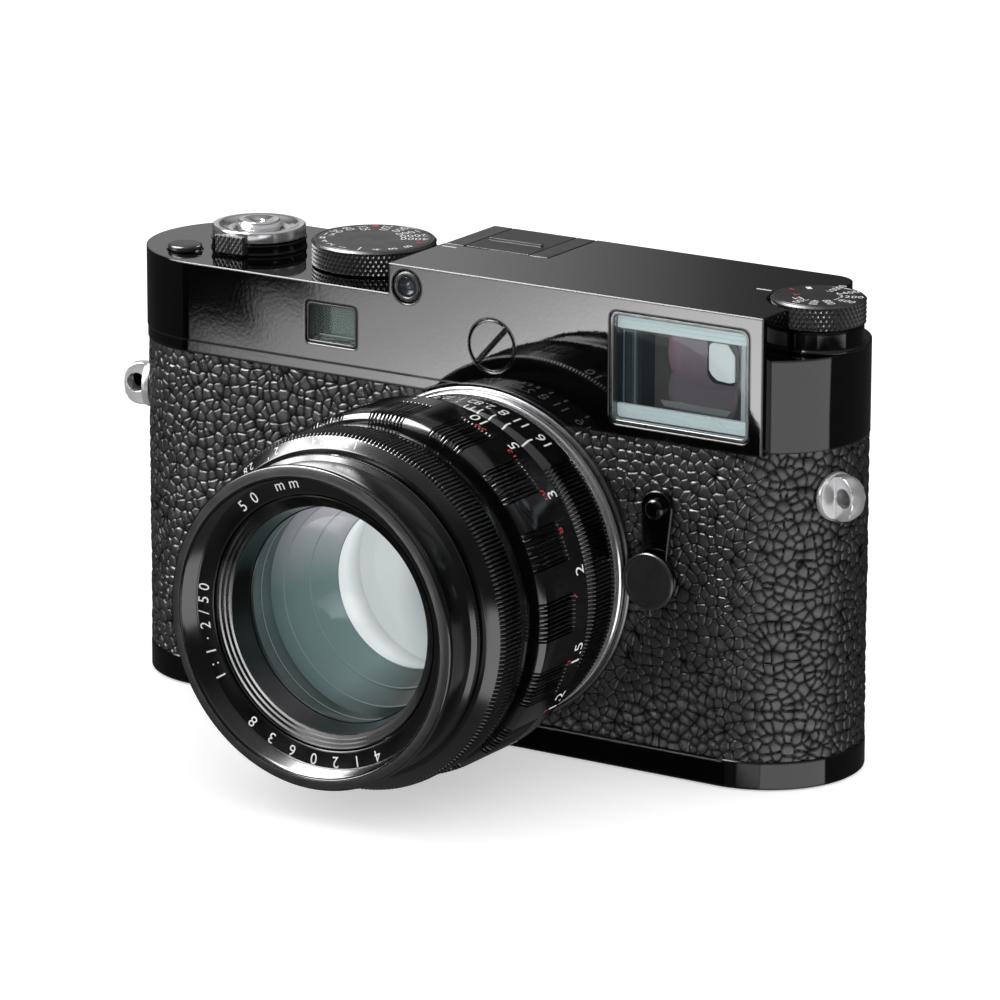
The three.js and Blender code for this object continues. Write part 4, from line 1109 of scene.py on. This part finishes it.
def stop_ring():
    """The aperture ring: a smooth rear rim, fine flutes over the front edge, and figures in front."""
    profile = [(24.5, 32.4), (29.15, 32.4), (29.45, 32.6), (29.62, 32.95), (29.85, 34.9), (29.9, 35.25),
               (29.95, 35.3), (29.98, 36),
               (30, 40.1), (29.75, 40.45), (29.55, 40.7), (29.45, 40.95), (29.3, 41.05), (27.75, 42.2),
               (27.55, 42.3), (24.5, 42.3)]
    relief = flutes(STOP_FLUTES, 0.5, 35.28, 40.8, 0.35)
    ring("aperture_ring_fluted", profile, 8 * STOP_FLUTES, "lens_black", "aperture_ring", ["aperture_ring"],
         relief, 0, smooth=50)
    shapes = []
    for text, angle in (("1.2", 87.2), ("1.4", 100.3), ("2", 117.5), ("2.8", 131.0), ("4", 145), ("5.6", 159),
                        ("8", 173), ("11", 187), ("16", 201)):
        shapes.append(on_lens(glyphs(text, 2.0), angle, STOP_PROFILE, 41.6, 0.6))
    for k in range(9):
        shapes.append(on_lens(bar(0.16, 0.34), 94 + 13.6 * k, STOP_PROFILE, 42.0))
    mesh("aperture_figures", joined(shapes), "white", "aperture_ring")


def head():
    groove = [(19.6, 3), (24.2, 3), (24.2, 29.7), (27.2, 29.9), (27.4, 30.1), (27.4, 31.9), (27.2, 32.1),
              (24.2, 32.3), (24.2, 42.6), (20.8, 42.6), (19.6, 40)]
    ring("barrel_core", groove, 192, "lens_black", "lens_head", ["lens_barrel"])
    barrel = [(21.6, 42.9), (26.6, 42.9), (26.9, 43.05), (26.9, 43.2), (26.9, 43.75), (26.85, 43.85),
              (26.1, 44.35), (25.95, 45.2), (25.9, 46.5),
              (26.0, 48.2), (26.2, 49.6), (26.55, 50.5), (26.95, 50.95), (27.0, 51.1), (27.0, 51.85),
              (26.9, 52.0), (26.75, 52.06), (25.25, 52.26), (25.05, 52.15)]
    thread = [(24.98 - 0.28 * (k % 2) - 0.03 * k, 51.9 - 0.28 * k) for k in range(12)]
    inside = thread + [(24.5, 46), (21.6, 46)]
    teeth = flutes(FRONT_TEETH, 0.1, 43.1, 43.8)
    shape = lathe(barrel + inside, 4 * FRONT_TEETH, lens_place, teeth)
    mesh("front_shell", shape, "lens_black", "lens_head", ["front_barrel"], smooth=40)
    face = [(25.3, 52.2), (25.3, 52.3), (26.7, 52.1), (26.7, 52.0)]
    ring("front_rim", face, 256, "satin_black", "lens_head", soften=0.02, slot="black_paint")
    dot = [(math.cos(t) * 0.78, math.sin(t) * 0.42) for t in np.linspace(0, 2 * math.pi, 20, endpoint=False)]
    dot_shape = on_lens((np.array(dot), [tuple(range(20))]), 91.3, [(26.95, 43), (26.95, 44)], 43.45)
    mesh("aperture_index", dot_shape, "white", "lens_head")
    name = [(21.4, 46.3), (24.55, 46.3), (24.55, 48.75), (24.3, 48.8), (24.2, 48.62), (21.75, 48.15),
            (21.4, 48.05)]
    ring("name_ring_front", name, 256, "lens_black", "lens_head", ["name_ring"], soften=0.05)
    face_profile = [(21.4, 48.09), (24.4, 48.66)]
    shapes = []
    for text, angle, pitch in (("1:1.2/50", -167.6, 5.4), ("50 mm", 117.0, 7.0),
                               ("4 1 2 0 6 3 8", -94.0, 5.3)):
        shapes += spaced(text, angle, pitch, face_profile)
    mesh("name_ring_figures", joined(shapes), "white", "lens_head")
    baffle()
    interior()


def spaced(text, middle_angle, pitch, profile):
    """Figures set one by one round the name ring, reading clockwise with their tops outwards."""
    start = middle_angle + pitch * (len(text) - 1) / 2
    return [on_front(glyphs(letter, NAME_SIZE), start - pitch * k, NAME_RADIUS, profile)
            for k, letter in enumerate(text) if letter != " "]


def baffle():
    profile = [(21.1, 42.9), (21.15, 48.0), (20.95, 48.05), (20.85, 47.55), (20.35, 47.5), (20.25, 47.0),
               (19.75, 46.95), (19.65, 46.5), (19.1, 46.45)]
    profile += [(19.0 - 0.18 * k + (0.06 if k % 2 else 0), 46.3 - 0.85 * k) for k in range(6)] + [(18.05,
                                                                                                   42.2),
                                                                                                   (18.05,
                                                                                                    41.6),
                                                                                                    (18.3,
                                                                                                     41.0)]
    shape = lathe(profile, 192, lens_place, closed=False)
    mesh("front_baffle", shape, "lens_black", "lens_head", ["lens_baffle"], smooth=20)


def interior():
    """The coated elements behind the front one: nested cones and a bowl, glowing with painted reflections in
    the colours of their coatings.
    """
    dome = [(18.1, 41.9), (16.5, 42.75), (14, 43.6), (11, 44.4), (8, 44.95), (4, 45.3), (0, 45.4)]
    mesh("front_element", lathe(dome, 128, lens_place, closed=False), "lens_glass", "lens_head",
         ["front_glass"])
    wall = [(18.1, 41.8), (18.6, 38.5), (19.0, 35.0)]
    cone = [(19.0, 35.0), (17.9, 33.0), (17.75, 32.95), (16.9, 30.5), (16.0, 28.1), (15.85, 28.05),
            (15.3, 26.2), (14.3, 23.2), (14.0, 22.5)]
    throat = [(14.0, 22.5), (14.2, 20.5), (14.8, 17.5), (15.4, 14.0)]
    bowl = [(15.4, 14.0), (13.5, 12.2), (10.5, 10.8), (7, 9.9), (3.5, 9.5), (0, 9.4)]
    shapes = []
    for part_profile, paint in ((wall, wall_painted_reflection), (cone, cone_painted_reflection_and_shade), (throat, throat_painted_highlight),
                                (bowl, bowl_painted_reflection)):
        dense = resampled(part_profile, 0.35)
        points, faces = lathe(dense, 256, lens_place, closed=False)
        u, v = (points[:, 0] - LENS_X), (points[:, 2] - LENS_Z)
        shapes.append(((points, faces), paint(np.arctan2(v, u), np.hypot(u, v), FRONT - points[:, 1])))
    # Painted highlights: thin light rings at the edges of the elements.
    for radius, s in ((17.85, 33.0), (15.95, 28.1), (14.1, 22.6), (18.6, 38.5)):
        band = lathe([(radius, s), (radius - 0.1, s + 0.16), (radius - 0.2, s)], 256, lens_place)
        shapes.append((band, (0.17, 0.21, 0.21)))
    coloured("coated_interior_painted_reflections", shapes, "lens_head", ["middle_glass", "iris_diaphragm"])


def resampled(profile, spacing):
    points = [np.array(p, float) for p in profile]
    dense = [points[0]]
    for start, end in zip(points, points[1:]):
        count = max(1, int(np.linalg.norm(end - start) / spacing))
        dense += [start + (end - start) * k / count for k in range(1, count + 1)]
    return [tuple(p) for p in dense]


def blend_rgb(weight, first, second):
    return (1 - weight)[:, None] * np.array(first) + weight[:, None] * np.array(second)


def around(angle, centre, width):
    """1 near an angle round the lens, fading smoothly to 0 at width, all in degrees."""
    away = np.abs(np.degrees(np.angle(np.exp(1j * (angle - math.radians(centre))))))
    return np.clip(1 - away / width, 0, 1)


# Painted reflection: dark, with a teal sheen on one side.
def wall_painted_reflection(angle, radius, s):
    return blend_rgb(around(angle, 190, 75), (0.008, 0.009, 0.009), (0.05, 0.075, 0.075))


# Painted reflection from teal to purple, lighter towards the middle, with painted shade on one side.
def cone_painted_reflection_and_shade(angle, radius, s):
    teal, purple = (0.125, 0.18, 0.18), (0.5, 0.43, 0.47)
    base = blend_rgb(around(angle, 108, 75), teal, purple)
    base = base * (0.75 + 0.45 * ramp(19 - radius, 0, 5))[:, None]
    dark = np.clip(around(angle, -55, 58) * 1.6, 0, 1)
    return dark[:, None] * np.array((0.012, 0.014, 0.012)) + base * (1 - dark)[:, None]


# Painted highlight: a bright crescent on one side, stronger towards the front.
def throat_painted_highlight(angle, radius, s):
    lit = np.clip(around(angle, 178, 120) * 2.2, 0, 1)
    near = 0.5 + 0.5 * ramp(s, 14.5, 20)
    return blend_rgb(lit * near, (0.06, 0.08, 0.08), (0.86, 0.86, 0.87))


# Painted reflection: a light arc towards the rim of the bowl, stronger on one side.
def bowl_painted_reflection(angle, radius, s):
    u, v = radius * np.cos(angle), radius * np.sin(angle)
    rim = ramp(np.hypot(u - 5, v + 4), 6, 15) * (0.55 + 0.45 * ramp(-u, -9, 4))
    return blend_rgb(rim * 0.72, (0.12, 0.155, 0.155), (0.76, 0.76, 0.77))


# ---- Rear and base -----------------------------------------------------------------------------------------
BACK_FACE = FRONT + 34


def rear():
    low, high = span("screen_glass")
    glass = outline_prism(rounded(low[0], high[0], low[2], high[2], 1.2, 8), low[1], high[1], "y")
    bevel(mesh("screen_cover", glass, "black_paint", "camera_body", ["screen_glass"],
               recalc=True), 0.2)
    rim = outline_prism(rounded(low[0] + 1.6, high[0] - 1.6, low[2] + 1.8, high[2] - 1.8, 0.6, 6),
                        high[1] - 0.1, high[1] + 0.015, "y")
    mesh("screen_area", rim, "deep", "camera_body", recalc=True)
    pad_x, _, pad_z = middle("direction_pad")
    place = forward_at(pad_x, pad_z)
    pad = [(3.2, -31.8), (8.0, -31.8), (8.0, -34.3), (7.7, -34.6), (6.6, -34.7), (5.2, -34.35), (3.6, -34.25),
           (3.2, -34.1)]
    mesh("pad_ring", lathe(softened(pad, 0.15), 96, place), "plastic", "direction_pad", ["direction_pad"])
    knob = [(0, -34.35), (2.0, -34.45), (2.7, -34.6), (2.9, -34.4), (2.9, -31.8), (0, -31.8)]
    mesh("pad_centre", lathe(softened(knob, 0.15, closed=False), 64, place, closed=False), "satin_black",
         "center_button", ["center_button"])
    arrows = []
    for k in range(4):
        turn = k * math.pi / 2
        tip = np.array([[0, 0.7], [-0.75, -0.35], [0.75, -0.35]])
        spin = np.array([[math.cos(turn), math.sin(turn)], [-math.sin(turn), math.cos(turn)]])
        flat = tip @ spin + np.array([math.sin(turn), math.cos(turn)]) * 5.2
        arrows.append((np.column_stack([pad_x + flat[:, 0], np.full(3, BACK_FACE + 0.42),
                                        pad_z + flat[:, 1]]), [(0, 1, 2)]))
    mesh("pad_arrows", joined(arrows), "white", "direction_pad")
    for node in ("play_button", "menu_button"):
        x, _, z = middle(node)
        cap = [(0, -34.65), (2.2, -34.7), (2.7, -34.8), (3.0, -34.5), (3.0, -31.8), (0, -31.8)]
        mesh(node + "_cap", lathe(softened(cap, 0.15, closed=False), 64, forward_at(x, z), closed=False),
             "plastic", node, [node])
    x, _, z = middle("play_button")
    sign = np.array([[0.8, 0.0], [-0.5, 0.75], [-0.5, -0.75]])
    triangle = (np.column_stack([x - sign[:, 0], np.full(3, BACK_FACE + 0.72), z + sign[:, 1]]), [(0, 1, 2)])
    mesh("play_sign", triangle, "white", "play_button")
    x, _, z = middle("menu_button")
    lines = [cuboid(x - 0.9, x + 0.9, BACK_FACE + 0.68, BACK_FACE + 0.73, z + 0.5 * k - 0.1,
                    z + 0.5 * k + 0.1) for k in (-1, 0, 1)]
    mesh("menu_sign", joined(lines), "white", "menu_button", recalc=True)
    wheel_and_eyepiece()


def wheel_and_eyepiece():
    low, high = span("thumb_wheel")
    x, y, _ = middle("thumb_wheel")
    radius = (high[0] - low[0]) / 2
    profile = [(0, low[2]), (radius - 0.5, low[2]), (radius, low[2] + 0.4)]
    profile += [(radius, h) for h in np.linspace(low[2] + 0.45, high[2] - 0.45, 22)]
    profile += [(radius - 0.5, high[2]), (0, high[2])]
    relief = flutes(60, 0.5, low[2] + 0.4, high[2] - 0.4, 0.4)
    mesh("thumb_wheel_ribbed", lathe(profile, 480, upward_at(x, y), relief, closed=False), "satin_black",
         "thumb_wheel", ["thumb_wheel"])
    x, _, z = middle("eyepiece_ring")
    place = forward_at(x, z)
    outer = [(5.6, -30.2), (8.3, -30.2), (8.3, -33.6), (8.3, -33.9), (8.3, -35.8), (8.0, -36.2),
             (7.2, -36.26), (6.2, -35.6), (5.6, -34.9)]
    relief = flutes(72, 0.25, -35.9, -33.7, 0.3)
    mesh("eyepiece_rubber", lathe(outer, 576, place, relief), "plastic", "camera_body", ["eyepiece_ring"],
         smooth=45)
    pane = [(5.4, -33.3), (5.4, -34.2), (4, -34.5), (2, -34.65), (0, -34.7)]
    mesh("eyepiece_lens", lathe(pane, 64, place, closed=False), "glass", "camera_body", ["eyepiece_glass"])
    cup = lathe([(5.5, -33.2), (4.2, -31.0), (2.6, -30.6), (0, -30.5)], 64, place, closed=False)
    mesh("eyepiece_cup", cup, "deep", "camera_body")


def underside():
    x, y, _ = middle("tripod_socket")
    place = upward_at(x, y)
    thread = [(3.15 + 0.3 * (k % 2), 0.5 + 0.32 * k) for k in range(17)]
    profile = [(0, 5.95), (3.1, 5.95)] + thread[::-1] + [(3.4, 0.1), (4.75, 0.1), (4.8, 0.3), (4.8, 7),
                                                         (0, 7)]
    mesh("tripod_thread", lathe(profile, 96, place, closed=False), "steel", "camera_body", ["tripod_socket"],
         smooth=25)
    lx, ly, _ = middle("battery_lever")
    lever = outline_prism([(lx + a, ly + b) for a, b in rounded(-5, 5, -1.8, 1.8, 1.75, 10)], 0.3, 1.6)
    bevel(mesh("battery_catch", lever, "bright_metal", "battery_lever", ["battery_lever"],
               recalc=True), 0.3)


def dress_remaining():
    """CAD nodes that still show get the material of their slot and softened edges."""
    kinds = {"brass": "brass", "grey_metal": "steel", "plastic": "plastic", "glass": "glass",
             "body_frame": "body_frame"}
    kinds["circuit_board"] = "board"
    named = {s["node"]: s["material_slot"] for s in frame["record"]["subparts"]}
    for name, piece in NODES.items():
        if piece.hide_render:
            continue
        slot = named.get(name, "satin_black")
        kind = kinds.get(name) or kinds.get(slot) or slot
        piece.data.materials.clear()
        piece.data.materials.append(MATERIALS[kind])
        bevel(piece, 0.15, 2, 50)


# ---- Studio ------------------------------------------------------------------------------------------------
CAMERA_PLACE = Vector((0.5742, -0.8820, 0.3336))
FOCAL_LENGTH, SENSOR_WIDTH = 236.07, 36
AZIMUTH, ELEVATION, ROLL = math.radians(32.333), math.radians(15.431), math.radians(0.152)


def camera():
    data = bpy.data.cameras.new("view")
    data.lens, data.sensor_width = FOCAL_LENGTH, SENSOR_WIDTH
    data.clip_start, data.clip_end = 0.05, 50
    made = bpy.data.objects.new("view", data)
    back = Vector((math.sin(AZIMUTH) * math.cos(ELEVATION), -math.cos(AZIMUTH) * math.cos(ELEVATION),
                   math.sin(ELEVATION)))
    right = Vector((math.cos(AZIMUTH), math.sin(AZIMUTH), 0))
    up = back.cross(right)
    rolled_right = math.cos(ROLL) * right + math.sin(ROLL) * up
    rolled_up = -math.sin(ROLL) * right + math.cos(ROLL) * up
    turn = Matrix((rolled_right, rolled_up, back)).transposed()
    made.matrix_world = Matrix.Translation(CAMERA_PLACE) @ turn.to_4x4()
    bpy.context.scene.collection.objects.link(made)
    bpy.context.scene.camera = made


def interpolated(value, stops):
    return np.interp(value, [stop[0] for stop in stops], [stop[1] for stop in stops])


def emitter(name, centre, aim, width, height, level):
    """A light panel seen only in reflections. level(a, b) is its brightness at metres from its middle."""
    us, vs = np.linspace(-width / 2, width / 2, 61), np.linspace(-height / 2, height / 2, 41)
    a, b = np.meshgrid(us, vs, indexing="ij")
    quads = grid_quads(len(us), len(vs))
    data = bpy.data.meshes.new(name)
    data.from_pydata(np.stack([a, b, 0 * a], -1).reshape(-1, 3).tolist(), [], quads.tolist())
    set_tint(data, np.repeat(level(a, b).ravel(), 4))
    material = bpy.data.materials.new(name)
    material.use_nodes = True
    tree = material.node_tree
    tree.nodes.clear()
    add, link = tree.nodes.new, tree.links.new
    output = add("ShaderNodeOutputMaterial")
    glow = add("ShaderNodeEmission")
    source = add("ShaderNodeVertexColor")
    source.layer_name = "tint"
    link(source.outputs["Color"], glow.inputs["Color"])
    link(glow.outputs[0], output.inputs["Surface"])
    data.materials.append(material)
    made = bpy.data.objects.new(name, data)
    toward = (Vector(aim) - Vector(centre)).normalized()
    right = Vector((0, 0, 1)).cross(toward).normalized()
    turn = Matrix((right, toward.cross(right), toward)).transposed()
    made.matrix_world = Matrix.Translation(centre) @ turn.to_4x4()
    bpy.context.scene.collection.objects.link(made)
    made.visible_camera = made.visible_diffuse = made.visible_transmission = made.visible_shadow = False


def soft_edges(width, height, fade, strength):
    """A panel of one brightness that fades to nothing over its outer edge."""
    def level(a, b):
        edge = np.minimum(width / 2 - np.abs(a), height / 2 - np.abs(b))
        return strength * ramp(edge, 0, fade) ** 1.5
    return level


def front_level(a, b):
    """The panel that the cover's front mirrors: its upper edge slopes, and it grows brighter to the right."""
    x, z = FRONT_PANEL[0] - a, FRONT_PANEL[2] + b
    inside = x - (-0.67 + (z + 0.2025) * 1.79)
    stops = [(0, 0), (0.006, 2.6), (0.02, 3.6), (0.054, 4.1), (0.083, 5.1), (0.123, 8), (0.2, 9)]
    return interpolated(inside, stops) * ramp(z, -0.265, -0.236) * ramp(-z, 0.1, 0.14) * ramp(-x, 0.3, 0.42)


def back_level(a, b):
    """The dim wall behind, which the flat tops mirror: lighter to the left."""
    x = BACK_PANEL[0] + a
    stops = [(-0.95, 0.5), (-0.64, 0.58), (-0.57, 0.3), (-0.52, 0.11), (-0.45, 0.06), (-0.3, 0)]
    return interpolated(x, stops) * ramp(0.25 - np.abs(b), 0, 0.1)


FRONT_PANEL = (-0.62, -0.95, -0.25)
BACK_PANEL = (-0.6, 1.0, 0.38)


def world():
    """White to the camera and as soft light, and a dim gradient in reflections."""
    made = bpy.data.worlds.new("studio")
    bpy.context.scene.world = made
    made.use_nodes = True
    tree = made.node_tree
    tree.nodes.clear()
    add, link = tree.nodes.new, tree.links.new
    output = add("ShaderNodeOutputWorld")
    path = add("ShaderNodeLightPath")
    place = add("ShaderNodeTexCoord")
    split = add("ShaderNodeSeparateXYZ")
    link(place.outputs["Generated"], split.inputs[0])
    ramp_node = add("ShaderNodeValToRGB")
    stops = ramp_node.color_ramp.elements
    stops[0].position, stops[0].color = 0.0, (0.2, 0.2, 0.2, 1)
    stops[1].position, stops[1].color = 1.0, (0.5, 0.5, 0.5, 1)
    for position, level in ((0.3, 0.06), (0.5, 0.04), (0.7, 0.06)):
        stop = stops.new(position)
        stop.color = (level, level, level * 1.02, 1)
    height = add("ShaderNodeMapRange")
    height.inputs["From Min"].default_value = -1
    link(split.outputs["Z"], height.inputs["Value"])
    link(height.outputs["Result"], ramp_node.inputs["Fac"])
    mirror = add("ShaderNodeBackground")
    link(ramp_node.outputs["Color"], mirror.inputs["Color"])
    dome = add("ShaderNodeBackground")
    dome.inputs["Strength"].default_value = 1.15
    backdrop = add("ShaderNodeBackground")
    backdrop.inputs["Color"].default_value = (1, 1, 1, 1)
    dome.inputs["Color"].default_value = (1, 1, 1, 1)
    soft = add("ShaderNodeMixShader")
    link(path.outputs["Is Diffuse Ray"], soft.inputs[0])
    link(mirror.outputs[0], soft.inputs[1])
    link(dome.outputs[0], soft.inputs[2])
    seen = add("ShaderNodeMixShader")
    link(path.outputs["Is Camera Ray"], seen.inputs[0])
    link(soft.outputs[0], seen.inputs[1])
    link(backdrop.outputs[0], seen.inputs[2])
    link(seen.outputs[0], output.inputs["Surface"])


FLOOR_Z = -0.0002


def floor():
    data = bpy.data.meshes.new("floor")
    data.from_pydata([(a, b, FLOOR_Z) for a, b in ((-4, -4), (4, -4), (4, 4), (-4, 4))], [], [(0, 1, 2, 3)])
    made = bpy.data.objects.new("floor", data)
    paper = Paint("white_paper", (0.8, 0.8, 0.8), 0.9)
    paper.set("Emission Color", (1, 1, 1, 1))
    paper.set("Emission Strength", 0.47)
    paper.set("Specular IOR Level", 0.0)
    data.materials.append(paper.material)
    bpy.context.scene.collection.objects.link(made)
    made.visible_glossy = False
    made.visible_diffuse = False


def studio():
    camera()
    world()
    floor()
    scene = bpy.context.scene
    scene.view_settings.view_transform = "Standard"
    scene.view_settings.look = "None"
    emitter("front_box", FRONT_PANEL, (FRONT_PANEL[0], 0, FRONT_PANEL[2]), 0.7, 0.6, front_level)
    emitter("back_wall", BACK_PANEL, (BACK_PANEL[0], 0, BACK_PANEL[2]), 0.9, 0.5, back_level)
    emitter("edge_light", (-0.5, -0.25, 0.85), (0, 0, 0.05), 0.8, 0.8, soft_edges(0.8, 0.8, 0.15, 24))
    emitter("key_light", (-0.72, -0.62, 0.5), (0, 0, 0.05), 0.8, 0.6, soft_edges(0.8, 0.6, 0.12, 12))
    emitter("front_table", (0.45, -0.78, -0.2), (0, 0, 0.06), 1.1, 0.36, soft_edges(1.1, 0.36, 0.1, 1.0))
    emitter("side_table", (0.565, -0.24, -0.24), (0, 0, 0.03), 1.0, 0.5, soft_edges(1.0, 0.5, 0.02, 1.6))


# ---- Everything --------------------------------------------------------------------------------------------
for make in (top_cover, base_plate, leather):
    make()
strap_lug(-1, "strap_lug_left")
strap_lug(1, "strap_lug_right")
for make in (viewfinder, rangefinder, sensor_window, slotted_cover, shutter_dial, iso_dial, power_switch,
             function_button, hot_shoe, front_controls, lens_mount, scale_ring, focus_ring, stop_ring, head,
             rear, underside, dress_remaining, studio):
    make()

bpy.context.view_layer.update()
